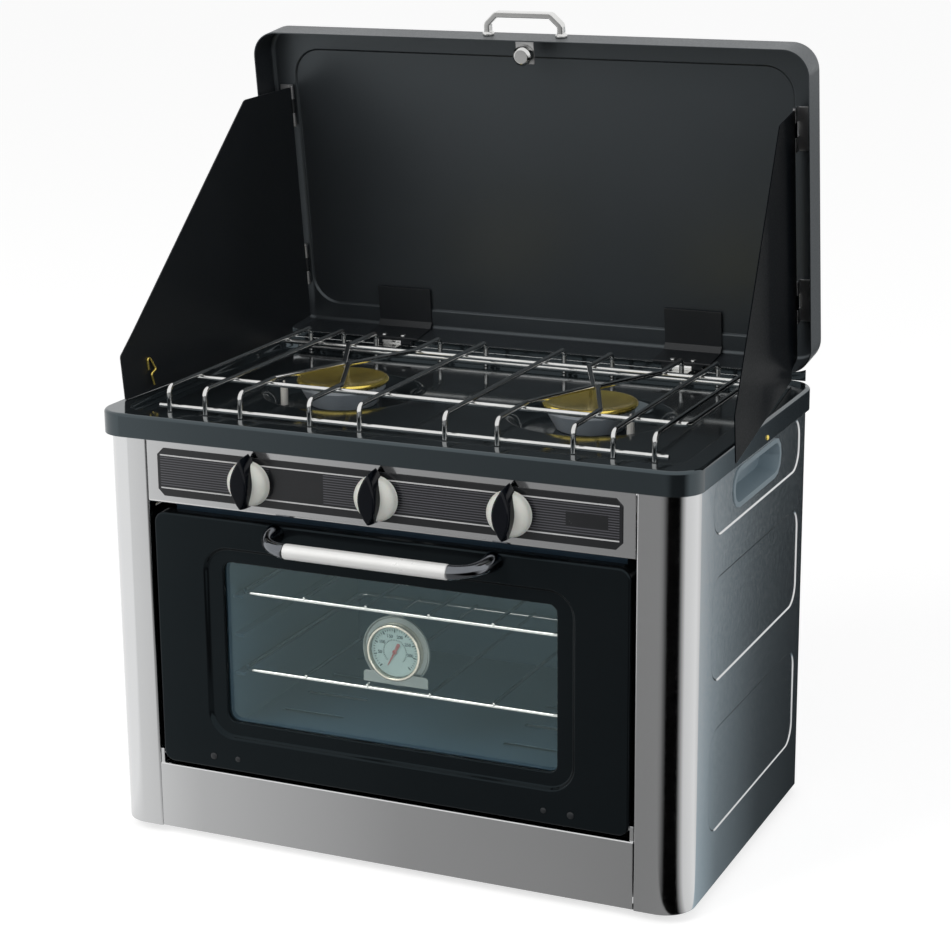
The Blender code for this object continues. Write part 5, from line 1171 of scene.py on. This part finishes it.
ENDS = ("left", "right")
REFINED = {
    "satin_steel": ["plinth_panel", "control_panel"],
    "grey_plastic": [f"carry_handle_{end}" for end in ENDS],
    "plated_steel": [
        "base_pan", "lid_latch_plate",
        *[f"shield_leaf_{level}_{end}" for end in ENDS for level in ("lower", "upper")],
        *[f"valve_spindle_{end}" for end in ("left", "middle", "right")],
    ],
    "black_rubber": [f"foot_{row}_{end}" for row in ("front", "rear") for end in ENDS],
    "label_print": ["control_label"],
    "polished_brass": ["gas_manifold"],
    "oven_enamel": ["oven_liner", "oven_floor_plate", "door_inner_panel"],
    "aluminium": ["oven_burner"],
    "chrome": [*[f"lid_hinge_leaf_{end}" for end in ENDS], "lid_latch"],
    "white_ceramic": [f"electrode_{end}" for end in ENDS],
    "glass": ["door_glass"],
    "grey_silicone": ["door_gasket"],
    "satin_black": [f"lid_hinge_bracket_{end}" for end in ENDS],
}
for slot, nodes in REFINED.items():
    for node in nodes:
        # flat faces with slots in them keep their triangles
        refine(node, slot, flat=node not in ("oven_liner", "oven_floor_plate"))
for source in NODES.values():
    for place in source.material_slots:
        place.material = LOOKS[place.material.name.split(".")[0]]
build_hob()
build_pan_support()
for side, name in zip((-1, 1), ENDS):
    build_side(side, name)
    build_burner(side, name)
for x, name in zip(KNOB_XS, ("left", "middle", "right")):
    build_knob(x, name)
build_rack(0, "lower")
build_rack(1, "upper")
build_thermometer()
build_door()
build_door_screws()
build_lid()
build_shields()
build_lid_handle()


# Floor, lamps and camera


FLOOR_REACH = 40.0
FLOOR_GLOW = 0.68
WORLD_LIGHT = 0.5


def shown(tree):
    """One for the rays that show a backdrop: from the camera, in mirrors and through glass."""
    path = tree.nodes.new("ShaderNodeLightPath")
    either = maths(tree, "MAXIMUM", path.outputs["Is Camera Ray"], path.outputs["Is Glossy Ray"])
    return maths(tree, "MAXIMUM", either, path.outputs["Is Transmission Ray"])


def build_stage():
    """A plain pale floor that takes the shadow, and a white world behind it."""
    work = bmesh.new()
    bmesh.ops.create_grid(work, x_segments=8, y_segments=8, size=FLOOR_REACH)
    mesh = written(work, "floor")
    floor = link_object("floor", mesh)
    made = bpy.data.materials.new("floor_paper")
    made.use_nodes = True
    tree = made.node_tree
    shader = tree.nodes["Principled BSDF"]
    shader.inputs["Base Color"].default_value = (0.55, 0.55, 0.55, 1)
    shader.inputs["Roughness"].default_value = 0.9
    shader.inputs["Specular IOR Level"].default_value = 0.0
    glow = tree.nodes.new("ShaderNodeEmission")
    glow.inputs["Color"].default_value = (1, 1, 1, 1)
    link(tree, maths(tree, "MULTIPLY", shown(tree), FLOOR_GLOW), glow.inputs["Strength"])
    total = tree.nodes.new("ShaderNodeAddShader")
    link(tree, shader.outputs["BSDF"], total.inputs[0])
    link(tree, glow.outputs["Emission"], total.inputs[1])
    link(tree, total.outputs["Shader"], tree.nodes["Material Output"].inputs["Surface"])
    mesh.materials.append(made)

    world = bpy.data.worlds.new("studio")
    bpy.context.scene.world = world
    world.use_nodes = True
    tree = world.node_tree
    ground = tree.nodes["Background"]
    ground.inputs["Color"].default_value = (1, 1, 1, 1)
    link(tree, remap(tree, shown(tree), 0, 1, WORLD_LIGHT, 1.0), ground.inputs["Strength"])


LAMP_AIM = (0, 0, 0.35)


def lamp(name, spot, size, power, colour):
    """A soft square lamp aimed at the cooker's middle, which no mirror shows."""
    data = bpy.data.lights.new(name, "AREA")
    data.shape = "SQUARE"
    data.size = size
    data.energy = power
    data.color = colour
    made = bpy.data.objects.new(name, data)
    bpy.context.scene.collection.objects.link(made)
    made.location = spot
    made.visible_glossy = False
    made.rotation_euler = (Vector(LAMP_AIM) - Vector(spot)).to_track_quat("-Z", "Y").to_euler()


CAMERA_SPOT = (0.8688, -1.7544, 0.8949)
CORNER = (CABINET_HALF, 0.0)
CARD_REACH = 9


def card(name, spot, edge, levels, tint=(1, 1, 1)):
    """A floor card that only reflections see: its levels go by the angle about its own origin."""
    work = bmesh.new()
    corners = [CORNER]
    for degrees in edge:
        angle = math.radians(degrees)
        corners.append((CORNER[0] + CARD_REACH * math.sin(angle), CORNER[1] - CARD_REACH * math.cos(angle)))
    work.faces.new([work.verts.new((x - spot[0], y - spot[1], 0)) for x, y in corners])
    mesh = written(work, name)
    board = link_object(name, mesh)
    board.location = (ORIGIN.x + spot[0], ORIGIN.y + spot[1], 0.001)
    made = bpy.data.materials.new(name)
    made.use_nodes = True
    tree = made.node_tree
    glow = tree.nodes.new("ShaderNodeEmission")
    place = tree.nodes.new("ShaderNodeTexCoord")
    parts = tree.nodes.new("ShaderNodeSeparateXYZ")
    link(tree, place.outputs["Object"], parts.inputs["Vector"])
    forward = maths(tree, "MULTIPLY", parts.outputs["Y"], -1)
    angle = maths(tree, "ARCTAN2", parts.outputs["X"], forward)
    low, high = math.radians(levels[0][0]), math.radians(levels[-1][0])
    ramp = tree.nodes.new("ShaderNodeValToRGB")
    link(tree, remap(tree, angle, low, high, 0, 1), ramp.inputs["Fac"])
    stops = ramp.color_ramp.elements
    for index, (degrees, value) in enumerate(levels):
        share = (degrees - levels[0][0]) / (levels[-1][0] - levels[0][0])
        # a new stop is made at its own place, between the first and the last
        stop = stops[0] if index == 0 else stops[-1] if index == len(levels) - 1 else stops.new(share)
        stop.color = (value * tint[0], value * tint[1], value * tint[2], 1)
    link(tree, ramp.outputs["Color"], glow.inputs["Color"])
    link(tree, glow.outputs["Emission"], tree.nodes["Material Output"].inputs["Surface"])
    mesh.materials.append(made)
    board.visible_camera = False
    board.visible_diffuse = False
    board.visible_shadow = False
    board.visible_transmission = False


# each card stands about the camera's mirror point in the face that shows it; angles are in degrees,
# from straight in front towards the right
card(
    "front_card", (CAMERA_SPOT[0], -CAMERA_SPOT[1]), (-18.8, -60, -100, -140, -180),
    [(-60, 1.0), (-34, 1.0), (-31, 0.58), (-26, 0.35), (-20, 0.27), (-18, 0.3)],
)
card(
    "corner_card", (0.246, 0.027), (-18.8, 20, 70, 120, 161.2),
    [(-20, 0.3), (-4, 0.24), (14, 0.0), (54, 0.0), (78, 0.8), (130, 0.95), (162, 0.65)],
)
card(
    "side_card", (-0.3228, CAMERA_SPOT[1]), (161.2, 170, 180),
    [(161.2, 0.6), (162, 0.2), (163, 0.06), (164, 0.03), (170, 0.03)],
    tint=(0.78, 0.95, 1.05),
)


build_stage()
lamp("key", (-1.5, -2.2, 2.3), 1.8, 42, (1.0, 0.985, 0.96))
lamp("fill", (2.4, -1.2, 1.6), 1.4, 12, (0.96, 0.98, 1.0))

# the camera, solved on the photograph's edges
YAW, PITCH, ROLL = math.radians(24.028), math.radians(15.476), math.radians(-0.480)
FOCAL_PIXELS = 2432.5
PICTURE_WIDTH = 951
SENSOR = 36
camera_data = bpy.data.cameras.new("camera")
camera_data.sensor_width = SENSOR
camera_data.lens = FOCAL_PIXELS / PICTURE_WIDTH * SENSOR
camera = bpy.data.objects.new("camera", camera_data)
bpy.context.scene.collection.objects.link(camera)
back = Vector((math.sin(YAW) * math.cos(PITCH), -math.cos(YAW) * math.cos(PITCH), math.sin(PITCH)))
right = Vector((math.cos(YAW), math.sin(YAW), 0))
up = back.cross(right)
tilted_right = right * math.cos(ROLL) + up * math.sin(ROLL)
tilted_up = up * math.cos(ROLL) - right * math.sin(ROLL)
turn = Matrix((tilted_right, tilted_up, back)).transposed().to_4x4()
camera.matrix_world = Matrix.Translation(ORIGIN + Vector(CAMERA_SPOT)) @ turn
bpy.context.scene.camera = camera
bpy.context.scene.view_settings.view_transform = "Standard"
